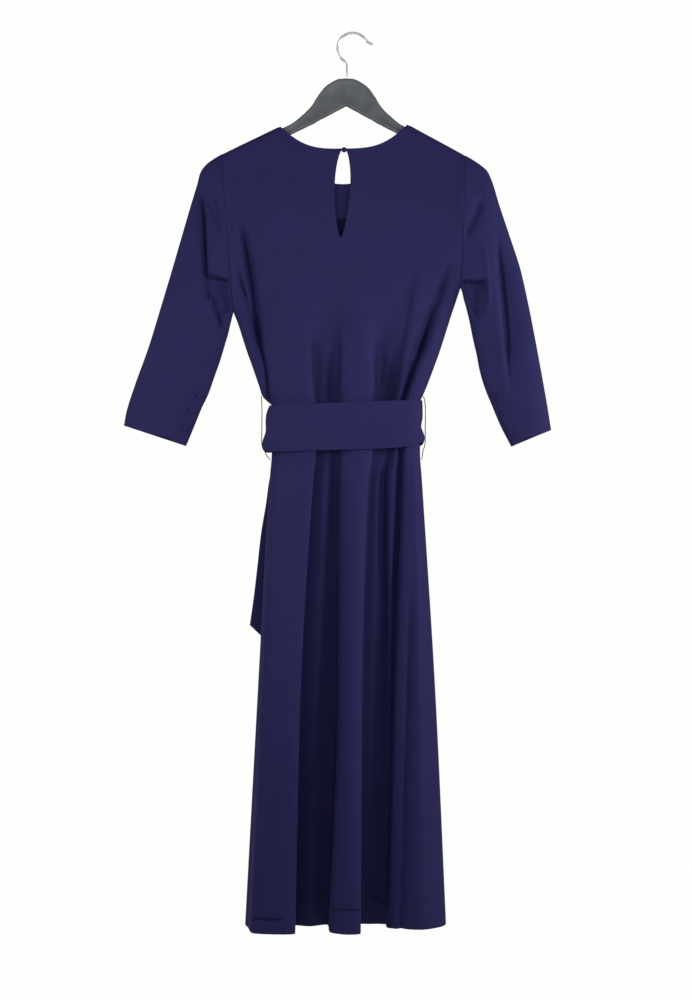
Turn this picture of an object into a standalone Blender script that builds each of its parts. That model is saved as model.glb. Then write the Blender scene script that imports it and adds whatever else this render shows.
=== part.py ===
"""An A-line dress with three-quarter sleeves and a tie belt, on a coat hanger.

The dress hangs with its back towards -Y and its front towards +Y.  The origin is the top
of the inside of the hanger's hook, where the hook bears on a rail, and +Z is up.
Every size is in millimetres from that origin and is turned into metres when an object
is made.  Left and right are as seen from the back of the dress, so left is -X.
"""
import math
from collections import namedtuple

import bmesh
import bpy
from mathutils import Vector
from mathutils.geometry import intersect_ray_tri

MM = 0.001

# ---------------------------------------------------------------- driving dimensions
CLOTH = 1.6                 # wall of the dress cloth
DOUBLE_CLOTH = 2.0          # wall of the belt and the tie ends, sewn double
FACING_CLOTH = 1.2          # wall of the neck facing and the cuff overlaps
SEAM = 0.3                  # gap between two pieces that are sewn together
ON_FACETS = 0.3             # extra gap for a piece that lies on a faceted wall

NECK_LEFT = (-105.0, -146.0)       # shoulder seam's inner end, x and z
NECK_RIGHT = (95.0, -143.0)
NECK_DROP = {-1: 35.0, 1: 94.0}    # neckline below the shoulder's inner ends, back and front
NECK_POWER = {-1: 2.7, 1: 2.2}     # 2 is a parabola, more is squarer
NECK_CROWD = 0.85                  # how much closer its columns stand at the corners
FACING_DEPTH = 52.0
FACING_INSET = 0.6          # its upper edge below the neckline
FACING_REACH = 0.93         # share of the neckline's half width that it covers
FACING_ROWS, FACING_STEPS = 3, 20

ROUND_DEPTH = 10.0          # cloth turning over the hanger's arm
ROUND_DROP = 11.0
CHEST_DEPTH = 20.0          # half the depth of the bodice
CHEST_DROP = 150.0

KEYHOLE_WIDTH = 25.6
KEYHOLE_ROWS = 9            # rows of cloth from the neckline to the slit's lower end
KEYHOLE_TOP_GAP = 8.0

ARMHOLE_DEPTH = 20.0
ARMHOLE_POWER = 2.6         # 2 is an ellipse, more is squarer
ARMHOLE_GAP = 0.9           # between the middles of two walls that meet at a slant
UNDERARM_GAP = 2.6          # walls lie side by side there

# Heights of the body's sections; the waist's holds from the belt's top to its bottom.
CHEST, RIBS, BLOUSE, BELT_TOP, BELT_BOTTOM = -341.0, -452.0, -561.0, -581.0, -660.0
HIP, KNEE, HEM = -705.0, -1052.0, -1408.0
LEVELS = (CHEST, RIBS, BLOUSE, BELT_TOP, BELT_BOTTOM, HIP, KNEE, HEM)

Side = namedtuple("Side", "tip underarm ribs blouse waist hip knee hem")
SIDES = {       # the armhole's two ends and the side seam: (x, z), then (x, y) at a level
    "left": Side((-198, -191), (-182, -438), (-174, 0), (-137, 0), (-118, 0), (-120, 0),
                 (-141.5, 4), (-161, 8)),
    "right": Side((187, -193), (179, -401), (160, 0), (122.5, 0), (115, 0), (118, 0),
                  (140, 4), (156.5, 8)),
}

Fold = namedtuple("Fold", "name chest ribs waist hip knee hem")
BACK_FOLDS = (  # (x, y) of each ridge, trough and flank at the levels
    Fold("left side",    (-171, -20), (-162, -11), (-115, -8), (-115, -13), (-133, -22), (-149, -28)),
    Fold("left crease",  (-154, -19), (-142, -11), (-109, -14), (-105, -25), (-122, -40), (-137, -50)),
    Fold("left crest",   (-100, -20), (-99, -23), (-88, -21), (-84, -33), (-99, -50), (-113, -66)),
    Fold("left edge",    (-61, -20), (-60, -23), (-60, -24), (-58, -28), (-73, -40), (-88, -54)),
    Fold("line one",     (-47, -20), (-49, -21), (-51, -15), (-50, -14), (-65, -14), (-78, -20)),
    Fold("floor one",    (-33, -20), (-33, -20), (-35, -14), (-33, -10), (-44, -4), (-55, 0)),
    Fold("crease one",   (-18, -20), (-14, -20), (-17, -10), (-15, -6), (-24, -3), (-33, -4)),
    Fold("centre",       (-3, -20), (-3, -22), (-6, -21), (-5, -23), (-14, -36), (-23, -44)),
    Fold("mid crest",    (17, -20), (17, -24), (16, -27), (19, -34), (8, -52), (-2, -66)),
    Fold("mid edge",     (35, -20), (33, -23), (30, -25), (34, -27), (25, -40), (17, -52)),
    Fold("line two",     (50, -20), (47, -22), (42, -15), (44, -12), (36, -11), (28, -17)),
    Fold("floor two",    (67, -20), (64, -21), (57, -12), (60, -8), (58, -3), (52, 0)),
    Fold("small ridge",  (89, -20), (83, -21), (69, -19), (72, -17), (69, -8), (64, -4)),
    Fold("right crease", (122, -20), (126, -11), (86, -11), (84, -8), (76, -8), (68, -12)),
    Fold("right edge",   (143, -20), (137, -17), (95, -16), (91, -20), (83, -24), (76, -28)),
    Fold("right crest",  (159, -20), (148, -15), (104, -14), (102, -24), (109, -31), (114, -37)),
    Fold("right side",   (171, -20), (156, -9), (110, -8), (112, -13), (132, -18), (147, -22)),
)
FRONT_FOLDS = (
    Fold("left side",    (-173, 20), (-165, 11), (-115, 8), (-116, 13), (-135, 24), (-152, 34)),
    Fold("left crest",   (-145, 20), (-142, 22), (-100, 18), (-97, 30), (-116, 50), (-131, 68)),
    Fold("left edge",    (-97, 20), (-91, 23), (-76, 22), (-75, 27), (-88, 42), (-101, 56)),
    Fold("floor one",    (-72, 20), (-70, 22), (-65, 13), (-63, 10), (-71, 14), (-81, 20)),
    Fold("rise one",     (-49, 20), (-48, 22), (-48, 12), (-46, 9), (-49, 12), (-54, 18)),
    Fold("mid foot",     (-32, 20), (-32, 23), (-35, 23), (-33, 26), (-37, 40), (-42, 54)),
    Fold("mid crest",    (-10, 20), (-11, 24), (-14, 27), (-13, 35), (-14, 54), (-16, 72)),
    Fold("mid edge",     (13, 20), (10, 24), (5, 25), (8, 27), (8, 42), (8, 56)),
    Fold("floor two",    (32, 20), (27, 22), (17, 13), (21, 10), (24, 14), (25, 20)),
    Fold("rise two",     (54, 20), (48, 22), (36, 12), (40, 9), (46, 12), (51, 18)),
    Fold("right foot",   (80, 20), (70, 23), (49, 22), (53, 25), (62, 38), (69, 50)),
    Fold("right crest",  (113, 20), (100, 23), (75, 22), (77, 33), (90, 50), (100, 68)),
    Fold("right edge",   (145, 20), (132, 21), (94, 17), (96, 25), (112, 38), (127, 50)),
    Fold("right side",   (170, 20), (154, 11), (111, 8), (113, 13), (132, 22), (148, 30)),
)
BLOUSE_FULLNESS = 1.2       # depth of the folds just above the belt, from the waist's
STEPS_PER_FOLD = 2          # columns of cloth between two lines of a table

# Rows of cloth: shares of the way from the top edge to the chest, then heights below it.
YOKE_SHARES = (0.0, 0.007, 0.025, 0.06, 0.13, 0.25, 0.40, 0.56, 0.72, 0.88, 1.0)
BODY_ROWS = (-376, -414, -452, -500, -535, -561, -572, -581, -620, -660, -680, -705, -755,
             -810, -865, -925, -985, -1052, -1120, -1190, -1260, -1330, -1408)

Ring = namedtuple("Ring", "outer_x outer_z inner_x inner_z half_depth")
SLEEVES = {     # sections of each sleeve, from the armhole to the hem
    "left": (
        Ring(-198, -191, -182, -438, 20), Ring(-210, -198, -185, -445, 20),
        Ring(-222, -207, -187, -453, 20), Ring(-231, -219, -189, -462, 20),
        Ring(-236, -237, -191, -473, 20), Ring(-246, -270, -196, -490, 19),
        Ring(-260, -318, -203, -515, 19), Ring(-276, -373, -212, -542, 18),
        Ring(-294, -433, -221, -569, 17), Ring(-313, -495, -231, -591, 17),
        Ring(-335, -556, -242, -618, 16), Ring(-348, -597, -251, -641, 15),
        Ring(-352, -619, -255, -651, 15),
    ),
    "right": (
        Ring(187, -193, 179, -401, 20), Ring(199, -200, 182, -409, 20),
        Ring(211, -208, 184, -417, 20), Ring(221, -217, 187, -427, 20),
        Ring(229, -234, 190, -438, 20), Ring(240, -270, 194, -455, 19),
        Ring(256, -318, 199, -480, 19), Ring(273, -370, 205, -506, 18),
        Ring(286, -427, 210, -532, 17), Ring(297, -483, 218, -559, 17),
        Ring(307, -537, 229, -586, 16), Ring(316, -588, 243, -619, 15),
        Ring(322, -626, 260, -652, 15),
    ),
}
SLEEVE_SIDES = 28

Crease = namedtuple("Crease", "side face width depth path")
CREASES = (     # soft troughs across the sleeves: face -1 is the back, path is (x, z)
    Crease("left", -1, 9, 8, ((-235, -262), (-228, -310), (-225, -376), (-217, -420), (-200, -470))),
    Crease("left", -1, 8, 5, ((-262, -400), (-262, -470), (-272, -540))),
    Crease("left", 1, 9, 7, ((-224, -260), (-220, -340), (-214, -430), (-212, -490))),
    Crease("right", -1, 9, 8, ((229, -300), (243, -380), (250, -430), (256, -512), (259, -574))),
    Crease("right", -1, 11, 8, ((190, -402), (204, -420), (208, -458))),
    Crease("right", 1, 9, 7, ((226, -280), (232, -360), (236, -440), (246, -520))),
)

Button = namedtuple("Button", "x z")
CUFF_BUTTONS = {
    "left": (Button(-232.4, -571.6), Button(-244.9, -596.4), Button(-255.0, -623.1)),
    "right": (Button(239.2, -571.6), Button(248.7, -599.5), Button(255.8, -629.1)),
}
BUTTON_RADIUS = 4.8
BUTTON_HEIGHT = 3.6
CUFF_OVERLAP = {            # the strip's reach from the buttons' line: inwards at its upper
    "left": (7.0, 7.0, 7.0),        # and lower end, and outwards
    "right": (6.5, 3.2, 7.5),
}
CUFF_OVERLAP_ABOVE, CUFF_OVERLAP_BELOW = 15.0, 11.0     # beyond the outer buttons' centres
CUFF_OVERLAP_STEPS = 7
NECK_BUTTON_RADIUS = 4.5
NECK_BUTTON_DROP = 2.5      # its centre below the neckline
NECK_BUTTON_SHIFT = 1.8     # its centre inside the keyhole's right-hand edge

BeltRow = namedtuple("BeltRow", "z_left z_right x_left x_right half_depth")
BELT_ROWS = (   # the belt's upper edge, then down to its lower edge
    BeltRow(-588, -579, -121.5, 119.0, 31.5),
    BeltRow(-600, -593, -124.5, 120.0, 32.5),
    BeltRow(-618, -612, -127.5, 120.5, 33.0),
    BeltRow(-643, -637, -132.0, 121.5, 33.0),
    BeltRow(-660, -653, -127.0, 119.5, 32.5),
)
BELT_POWER = 2.6
BELT_STEPS = 26

KNOT_CENTRE = (-75.0, 46.0, -624.0)
KNOT_SIZE = (46.0, 22.0, 52.0)
TieEnd = namedtuple("TieEnd", "left right lead")
TIE_ROWS = (-651, -698, -744, -792, -836, -887, -937)  # heights of the tie ends' sections
TIE_ENDS = {    # x of the two edges at the rows, and how much lower the inner edge ends
    "left": TieEnd((-93, -123, -130, -138, -143, -149, -156), (-76, -80, -81, -82, -82, -83, -84), 70.0),
    "right": TieEnd((-73, -72, -70, -68, -66, -63, -60), (-56, -36, -28, -20, -13, -6, 2), -52.0),
}

TIE_BOW = 3.0
TIE_STEPS = 6

LOOP_ENDS = (-568.0, -673.0)       # heights of a belt loop's two ends
LOOP_STEPS = 14

HangerSection = namedtuple("HangerSection", "x top bottom half_depth")
HANGER_CENTRE_X = -0.5
HANGER_SECTIONS = (     # one arm, from the crown to the tip; the other is its mirror image
    HangerSection(0, -71, -114, 6.5), HangerSection(12, -72, -120, 6.5),
    HangerSection(21, -76, -125, 6.5), HangerSection(34, -85, -132, 6.5),
    HangerSection(42, -95, -136, 6.5), HangerSection(48, -104, -140, 6.5),
    HangerSection(54, -114, -143, 6.5), HangerSection(62, -123, -147, 6.5),
    HangerSection(72, -132, -152, 6.0), HangerSection(86, -143, -159, 5.5),
    HangerSection(98, -149, -165, 5.5), HangerSection(147, -172, -187, 5.5),
    HangerSection(187, -194, -208, 5.5), HangerSection(205, -205.5, -218, 5.0),
    HangerSection(214, -212.5, -222, 4.5), HangerSection(218, -216, -221.5, 3.5),
)
HANGER_TILT = -0.007        # its right arm hangs a little lower
HANGER_SIDES = 12
HANGER_POWER = 2.8

HOOK_WIRE = 3.6
HOOK_RADIUS = 24.5          # of the wire's centre line
HOOK_START, HOOK_END = 200.0, 32.0      # the arc's ends, in degrees
HOOK_STEM_X = -0.5
HOOK_NECK = ((0, -8), (0, 0), (0, 9), (0, 19), (-5, 28.5), (-11, 37.5))   # (x, z) from the stem's foot
HOOK_TIP = ((32.6, -13.2), (36.4, -15.7), (41.0, -17.0))    # (x, z) from the dress's middle
DRESS_MIDDLE = -9.0         # x of the dress's centre line from the hook's

THREAD = 1.6                # thickness of the thread loops

COLOURS = {     # colour, roughness and metallic value
    "navy crepe": ((0.022, 0.022, 0.082, 1.0), 0.8, 0.0),
    "navy thread": ((0.030, 0.031, 0.070, 1.0), 0.7, 0.0),
    "black plastic": ((0.035, 0.037, 0.040, 1.0), 0.35, 0.0),
    "chromed wire": ((0.62, 0.62, 0.63, 1.0), 0.22, 1.0),
}


# ------------------------------------------------------------------- curves and shapes
def mix(a, b, share):
    return a + (b - a) * share


def ease(share):
    share = min(max(share, 0.0), 1.0)
    return share * share * (3.0 - 2.0 * share)


def steady(stations, values, at):
    """Smooth curve through values at falling stations, with no overshoot between them."""
    last = len(stations) - 1
    k = 0
    while k < last - 1 and at < stations[k + 1]:
        k += 1
    rises = [(values[i + 1] - values[i]) / (stations[i + 1] - stations[i]) for i in range(last)]

    def slope(i):
        before, after = rises[max(i - 1, 0)], rises[min(i, last - 1)]
        return 0.0 if before * after <= 0 else 2.0 * before * after / (before + after)

    run = stations[k + 1] - stations[k]
    s = (at - stations[k]) / run
    return (values[k] * (1 + 2 * s) * (1 - s) ** 2 + slope(k) * run * s * (1 - s) ** 2
            + values[k + 1] * s * s * (3 - 2 * s) + slope(k + 1) * run * s * s * (s - 1))


def between(points, steps):
    """Centripetal Catmull-Rom curve: the first and last points only steer it."""
    made = []
    for p0, p1, p2, p3 in zip(points, points[1:], points[2:], points[3:]):
        knots = [0.0]
        for a, b in ((p0, p1), (p1, p2), (p2, p3)):
            knots.append(knots[-1] + math.sqrt(max((b - a).length, 1e-6)))
        t0, t1, t2, t3 = knots
        for step in range(steps):
            t = mix(t1, t2, step / steps)
            a1 = p0.lerp(p1, (t - t0) / (t1 - t0))
            a2 = p1.lerp(p2, (t - t1) / (t2 - t1))
            a3 = p2.lerp(p3, (t - t2) / (t3 - t2))
            b1 = a1.lerp(a2, (t - t0) / (t2 - t0))
            b2 = a2.lerp(a3, (t - t1) / (t3 - t1))
            made.append(b1.lerp(b2, (t - t1) / (t2 - t1)))
    made.append(points[-2].copy())
    return made


def rounded(angle, power):
    """Point of a unit superellipse, its first coordinate 1 at angle 0."""
    c, s = math.cos(angle), math.sin(angle)
    return (math.copysign(abs(c) ** (2.0 / power), c), math.copysign(abs(s) ** (2.0 / power), s))


def path_distance(x, z, path):
    """Distance from a point to a path, and the share of the path passed there."""
    best, place = 1e9, 0.0
    for k, ((ax, az), (bx, bz)) in enumerate(zip(path, path[1:])):
        dx, dz = bx - ax, bz - az
        s = min(max(((x - ax) * dx + (z - az) * dz) / (dx * dx + dz * dz), 0.0), 1.0)
        distance = math.hypot(x - ax - s * dx, z - az - s * dz)
        if distance < best:
            best, place = distance, (k + s) / (len(path) - 1)
    return best, place


# ---------------------------------------------------------------------- making objects
def material(name):
    made = bpy.data.materials.get(name)
    if made is None:
        colour, roughness, metallic = COLOURS[name]
        made = bpy.data.materials.new(name)
        made.use_nodes = True
        shader = made.node_tree.nodes["Principled BSDF"]
        shader.inputs["Base Color"].default_value = colour
        shader.inputs["Roughness"].default_value = roughness
        shader.inputs["Metallic"].default_value = metallic
        made.diffuse_color = colour
    return made


def place(name, data, finish):
    made = bpy.data.objects.new(name, data)
    made.location.x = DRESS_MIDDLE * MM
    made.data.materials.append(material(finish))
    bpy.data.collections["a_line_dress"].objects.link(made)
    return made


def sheet(name, rows, finish, wall, tube=False, slit=None):
    """Cloth wall through rows of points.

    A tube's rows are rings.  slit is (row, column, right_hand_points): above that row the
    column has a second set of points, so that the cloth is open there.
    """
    shape = bmesh.new()
    grid = [[shape.verts.new(point * MM) for point in row] for row in rows]
    second = {}
    if slit:
        slit_row, slit_column, right_points = slit
        for r in range(slit_row):
            second[r] = shape.verts.new(right_points[r] * MM)
    columns = len(rows[0])
    for r in range(len(rows) - 1):
        for c in range(columns if tube else columns - 1):
            after = (c + 1) % columns
            corner = [grid[r][c], grid[r + 1][c], grid[r + 1][after], grid[r][after]]
            if slit and c == slit_column:
                corner[0] = second.get(r, grid[r][c])
                corner[1] = second.get(r + 1, grid[r + 1][c])
            shape.faces.new(corner)
    bmesh.ops.recalc_face_normals(shape, faces=shape.faces)
    mesh = bpy.data.meshes.new(name)
    shape.to_mesh(mesh)
    shape.free()
    mesh.shade_smooth()
    made = place(name, mesh, finish)
    walls = made.modifiers.new("wall", "SOLIDIFY")
    walls.thickness = wall * MM
    walls.offset = 0.0
    walls.use_even_offset = True
    walls.use_quality_normals = True
    return made


def wire(name, points, thickness, finish, sides=2):
    curve = bpy.data.curves.new(name, "CURVE")
    curve.dimensions = "3D"
    curve.bevel_depth = thickness / 2 * MM
    curve.bevel_resolution = sides
    curve.use_fill_caps = True
    spline = curve.splines.new("POLY")
    spline.points.add(len(points) - 1)
    for point, at in zip(spline.points, points):
        point.co = (*(at * MM), 1.0)
    return place(name, curve, finish)


def turned(name, profile, centre, direction, finish, steps=14):
    """Profile of (radius, height) turned about direction, which starts at centre."""
    mesh = bpy.data.meshes.new(name)
    points = [(radius * MM, 0.0, height * MM) for radius, height in profile]
    mesh.from_pydata(points, [(k, k + 1) for k in range(len(points) - 1)], [])
    made = place(name, mesh, finish)
    made.location = Vector(made.location) + Vector(centre) * MM
    made.rotation_mode = "QUATERNION"
    made.rotation_quaternion = Vector((0, 0, 1)).rotation_difference(Vector(direction))
    screw = made.modifiers.new("turn", "SCREW")
    screw.steps = steps
    screw.render_steps = steps
    screw.use_merge_vertices = True
    screw.merge_threshold = 0.00001
    screw.use_normal_calculate = True
    return made


# --------------------------------------------------------------------------- the body
NECK_MIDDLE = (NECK_LEFT[0] + NECK_RIGHT[0]) / 2
NECK_HALF = (NECK_RIGHT[0] - NECK_LEFT[0]) / 2
GRIDS = {}                  # rows of points of the pieces that other pieces lie on


def shoulder_line(x):
    """Height of the shoulder seams, carried across the neck."""
    if x < NECK_LEFT[0]:
        tip, corner = SIDES["left"].tip, NECK_LEFT
    elif x > NECK_RIGHT[0]:
        tip, corner = SIDES["right"].tip, NECK_RIGHT
    else:
        tip, corner = NECK_RIGHT, NECK_LEFT
    return mix(corner[1], tip[1], (x - corner[0]) / (tip[0] - corner[0]))


def neckline(x, face):
    """Height of the neckline: a shallow curve at the back, a scoop in front."""
    share = min(abs((x - NECK_MIDDLE) / NECK_HALF), 1.0)
    return shoulder_line(x) - NECK_DROP[face] * (1 - share ** NECK_POWER[face])


def drape(drop):
    """How far the cloth stands from the hanger's plane, drop below the shoulder line."""
    if drop < ROUND_DROP:
        return ROUND_DEPTH * math.sqrt(max(1.0 - (1.0 - max(drop, 0.0) / ROUND_DROP) ** 2, 0.0))
    return mix(ROUND_DEPTH, CHEST_DEPTH, ease((drop - ROUND_DROP) / (CHEST_DROP - ROUND_DROP)))


def edge(side, z):
    """A panel's edge at a height: x, how far it stands from the seam's plane, that plane's y."""
    s = SIDES[side]
    if z > s.underarm[1]:
        share = (s.tip[1] - z) / (s.tip[1] - s.underarm[1])
        stand = ARMHOLE_DEPTH * max(1 - abs(2 * share - 1) ** ARMHOLE_POWER, 0) ** (1 / ARMHOLE_POWER)
        return mix(s.tip[0], s.underarm[0], share), stand, 0.0
    stations = (s.underarm[1], *LEVELS[1:])
    seam = ((s.underarm[0], 0), s.ribs, s.blouse, s.waist, s.waist, s.hip, s.knee, s.hem)
    return (steady(stations, [p[0] for p in seam], z), 0.0,
            steady(stations, [p[1] for p in seam], z))


def part_edge(end, inner, face, plane, wall, turn_axis, extra=0.03):
    """Move an edge point off its seam's plane, so that the slanting walls stay apart."""
    run = inner - end
    slant = abs(run[turn_axis]) / max(run.length, 1e-6)
    least = SEAM / 2 + wall / 2 * slant + extra
    end.y = plane + face * max(abs(end.y - plane), least)


def section(folds, other, face, z):
    """Points across a panel at a height at or below the chest."""
    def at(fold):
        s = SIDES["left" if fold.waist[0] < 0 else "right"]
        blouse = (fold.waist[0] * s.blouse[0] / s.waist[0], fold.waist[1] * BLOUSE_FULLNESS)
        values = (fold.chest, fold.ribs, blouse, fold.waist, *fold[3:])
        return Vector((steady(LEVELS, [v[0] for v in values], z),
                       steady(LEVELS, [v[1] for v in values], z), z))

    sides = [edge(side, z) for side in ("left", "right")]
    ends = [Vector((x, plane + face * stand, z)) for x, stand, plane in sides]
    # the other panel's first line steers the turn at the side seam
    before = at(other[0]) if sides[0][1] < 3.0 else ends[0] * 2 - at(folds[0])
    after = at(other[-1]) if sides[1][1] < 3.0 else ends[1] * 2 - at(folds[-1])
    row = between([before, ends[0], *map(at, folds), ends[1], after], STEPS_PER_FOLD)
    extra = 0.25 if z >= RIBS else 0.03         # the edge also slants just below the armhole
    part_edge(row[0], row[1], face, sides[0][2], CLOTH, 0, extra)
    part_edge(row[-1], row[-2], face, sides[1][2], CLOTH, 0, extra)
    return row


def keyhole_half(z, top):
    """Half the keyhole's width at a height."""
    low = mix(top, CHEST, YOKE_SHARES[KEYHOLE_ROWS])
    share = min(max((top - z) / (top - low), 0.0), 1.0)
    bow = math.sin(math.pi * share ** 0.8) ** 0.6 if share < 1.0 else 0.0
    least = KEYHOLE_TOP_GAP / 2 if share < 0.5 else 0.0
    return max(KEYHOLE_WIDTH / 2 * bow, least)


def panel(name, folds, other, face, neck_folds, keyhole_fold=None):
    """A dress panel: yoke rows down to the chest, then level rows to the hem."""
    chest_row = section(folds, other, face, CHEST)
    columns = len(chest_row)
    neck_from, neck_to = (STEPS_PER_FOLD * (k + 1) for k in neck_folds)
    tops = []
    for c in range(columns):
        if c < neck_from:
            x = mix(SIDES["left"].tip[0], NECK_LEFT[0], c / neck_from)
        elif c > neck_to:
            x = mix(NECK_RIGHT[0], SIDES["right"].tip[0], (c - neck_to) / (columns - 1 - neck_to))
        else:
            share = (c - neck_from) / (neck_to - neck_from)
            crowded = (1 - math.cos(math.pi * share)) / 2
            x = mix(NECK_LEFT[0], NECK_RIGHT[0], mix(share, crowded, NECK_CROWD))
        tops.append((x, neckline(x, face) if neck_from < c < neck_to else shoulder_line(x)))

    slit_column = STEPS_PER_FOLD * (keyhole_fold + 1) if keyhole_fold is not None else None
    reach = 3 * STEPS_PER_FOLD
    rows, right_hand = [], []
    for share in YOKE_SHARES[:-1]:
        row = []
        for c, (top_x, top_z) in enumerate(tops):
            x = mix(top_x, chest_row[c].x, share)
            z = mix(top_z, CHEST, share)
            stand = drape(shoulder_line(x) - z)
            if c in (0, columns - 1):
                x, stand, _ = edge("left" if c == 0 else "right", z)
            point = Vector((x, face * stand, z))
            if slit_column is not None and abs(c - slit_column) < reach:
                push = keyhole_half(z, tops[slit_column][1]) * (1 - abs(c - slit_column) / reach)
                if c == slit_column:
                    right_hand.append(point + Vector((push, 0, 0)))
                point.x += push if c > slit_column else -push
            row.append(point)
        rows.append(row)
    for c in range(columns):
        if c <= neck_from or c >= neck_to:
            extra = 0.5 if c in (neck_from, neck_to) else 0.03
            part_edge(rows[0][c], rows[1][c], face, 0.0, CLOTH, 2, extra)
    rows.append(chest_row)
    rows.extend(section(folds, other, face, z) for z in BODY_ROWS)
    GRIDS[name] = rows
    slit = (KEYHOLE_ROWS, slit_column, right_hand) if slit_column is not None else None
    return sheet(name, rows, "navy crepe", CLOTH, slit=slit)


def landing(name, x, z, face):
    """Point and outward direction where a line along Y through (x, z) meets a piece."""
    rows = GRIDS[name]
    start, ray = Vector((x, face * 500.0, z)), Vector((0, -face, 0))
    best, out = None, None
    for upper, lower in zip(rows, rows[1:]):
        for c in range(-1 if name.startswith("sleeve") else 0, len(upper) - 1):
            for a, b, d in ((upper[c], lower[c], lower[c + 1]), (upper[c], lower[c + 1], upper[c + 1])):
                hit = intersect_ray_tri(a, b, d, ray, start, True)
                if hit is not None and (best is None or hit.y * face > best.y * face):
                    best, out = hit, (b - a).cross(d - a).normalized()
    return best, out if out.y * face > 0 else -out


# -------------------------------------------------------------------------- the sleeves
def sleeve_point(side, row, angle):
    """Point of a sleeve: row counts the table's rings, angle 0 is the outer fold."""
    ring = SLEEVES[side][row]
    out = -1 if side == "left" else 1
    along, across = rounded(angle, mix(ARMHOLE_POWER, 2.2, min(row / 4, 1.0)))
    x = mix(ring.inner_x, ring.outer_x, (along + 1) / 2)
    z = mix(ring.inner_z, ring.outer_z, (along + 1) / 2)
    stand = -across * ring.half_depth
    for crease in CREASES:
        if crease.side == side and crease.face * stand > 0:
            distance, share = path_distance(x, z, crease.path)
            fade = ease(share / 0.2) * ease((1 - share) / 0.2)
            sink = crease.depth * fade * math.exp(-(distance / crease.width) ** 2)
            stand -= crease.face * min(sink, 0.7 * abs(stand))
    gap = mix(ARMHOLE_GAP, UNDERARM_GAP, ease((0.2 - along) / 1.0)) * max(1.0 - row / 3, 0.0)
    return Vector((x + out * gap, stand, z))


def sleeve(side):
    turns = [2 * math.pi * k / SLEEVE_SIDES for k in range(SLEEVE_SIDES)]
    rows = [[sleeve_point(side, r, a) for a in turns] for r in range(len(SLEEVES[side]))]
    GRIDS["sleeve_" + side] = rows
    return sheet("sleeve_" + side, rows, "navy crepe", CLOTH, tube=True)


def cuff(side):
    """The overlap strip of a sleeve's slit and its three buttons."""
    lift = (CLOTH + FACING_CLOTH) / 2 + SEAM + ON_FACETS
    buttons = CUFF_BUTTONS[side]
    first, last = (Vector((b.x, 0, b.z)) for b in (buttons[0], buttons[-1]))
    run = (last - first).normalized()
    across = Vector((run.z, 0, -run.x)) * (1 if side == "left" else -1)
    inner_top, inner_end, outer = CUFF_OVERLAP[side]
    rows = []
    for k in range(CUFF_OVERLAP_STEPS + 1):
        middle = (first - run * CUFF_OVERLAP_ABOVE).lerp(last + run * CUFF_OVERLAP_BELOW,
                                                         k / CUFF_OVERLAP_STEPS)
        inner = mix(inner_top, inner_end, k / CUFF_OVERLAP_STEPS)
        row = []
        for reach in (-inner, -inner / 2, 0.0, outer / 2, outer):
            spot = middle + across * reach
            at, out = landing("sleeve_" + side, spot.x, spot.z, -1)
            row.append(at + out * lift)
        rows.append(row)
    name = "cuff_overlap_" + side
    GRIDS[name] = rows
    sheet(name, rows, "navy crepe", FACING_CLOTH)
    for number, button in enumerate(buttons, 1):
        at, out = landing(name, button.x, button.z, -1)
        seat = at + out * (FACING_CLOTH / 2 + SEAM + 0.06)
        turned("cuff_button_%s_%d" % (side, number), button_profile(BUTTON_RADIUS), seat, out,
               "navy crepe")


def button_profile(radius):
    """Half section of a cloth-covered button, from the middle of its dome to its back."""
    shares = ((0.0, 1.0), (0.45, 0.94), (0.8, 0.7), (1.0, 0.32), (0.86, 0.0), (0.0, 0.0))
    return [(radius * across, BUTTON_HEIGHT * up) for across, up in shares]


# ------------------------------------------------------------------ facing, neck button
def neck_facing():
    """Band inside the front neckline, level with it at its upper edge."""
    lift = (CLOTH + FACING_CLOTH) / 2 + SEAM + ON_FACETS
    rows = []
    for k in range(FACING_ROWS + 1):
        row = []
        for turn in range(FACING_STEPS + 1):
            u = mix(-FACING_REACH, FACING_REACH, turn / FACING_STEPS)
            x = NECK_MIDDLE + NECK_HALF * u
            step = 0.5
            run = Vector((2 * step, 0, neckline(x + step, 1) - neckline(x - step, 1))).normalized()
            spot = Vector((x, 0, neckline(x, 1))) + Vector((run.z, 0, -run.x)) * (
                FACING_INSET + FACING_DEPTH * k / FACING_ROWS)
            at, inward = landing("dress_front", spot.x, spot.z, -1)
            row.append(at + inward * lift)
        rows.append(row)
    return sheet("front_neck_facing", rows, "navy crepe", FACING_CLOTH)


def neck_button():
    """Covered button at the keyhole's top, seated on the right-hand edge, and its loop."""
    gap_x, gap_half = NECK_MIDDLE, KEYHOLE_TOP_GAP / 2
    z = neckline(gap_x, -1) - NECK_BUTTON_DROP
    x = gap_x + gap_half - NECK_BUTTON_SHIFT
    at, out = landing("dress_back", gap_x + gap_half + 1.0, z, -1)
    seat = Vector((x, at.y - CLOTH / 2 - SEAM - 0.2, z))
    turned("neck_button", button_profile(NECK_BUTTON_RADIUS), seat, (0, -1, 0), "navy crepe")
    bend = THREAD / 2 + 0.7
    start, end = gap_x - gap_half + THREAD / 2 + SEAM, gap_x + gap_half - bend - THREAD / 2 - SEAM
    y = at.y + THREAD / 2
    points = [Vector((start, y, z + bend))]
    for k in range(9):
        angle = math.radians(90 - 180 * k / 8)
        points.append(Vector((end + bend * math.cos(angle), y, z + bend * math.sin(angle))))
    points.append(Vector((start, y, z - bend)))
    wire("neck_loop", points, THREAD, "navy thread")


# ------------------------------------------------------------------------------ the belt
def belt_point(row, angle):
    """Point of the belt: row is one of the table's, angle runs from +X towards +Y."""
    b = BELT_ROWS[row]
    along, across = rounded(angle, BELT_POWER)
    x = mix(b.x_left, b.x_right, (along + 1) / 2)
    return Vector((x, across * b.half_depth, mix(b.z_left, b.z_right, (along + 1) / 2)))


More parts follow.
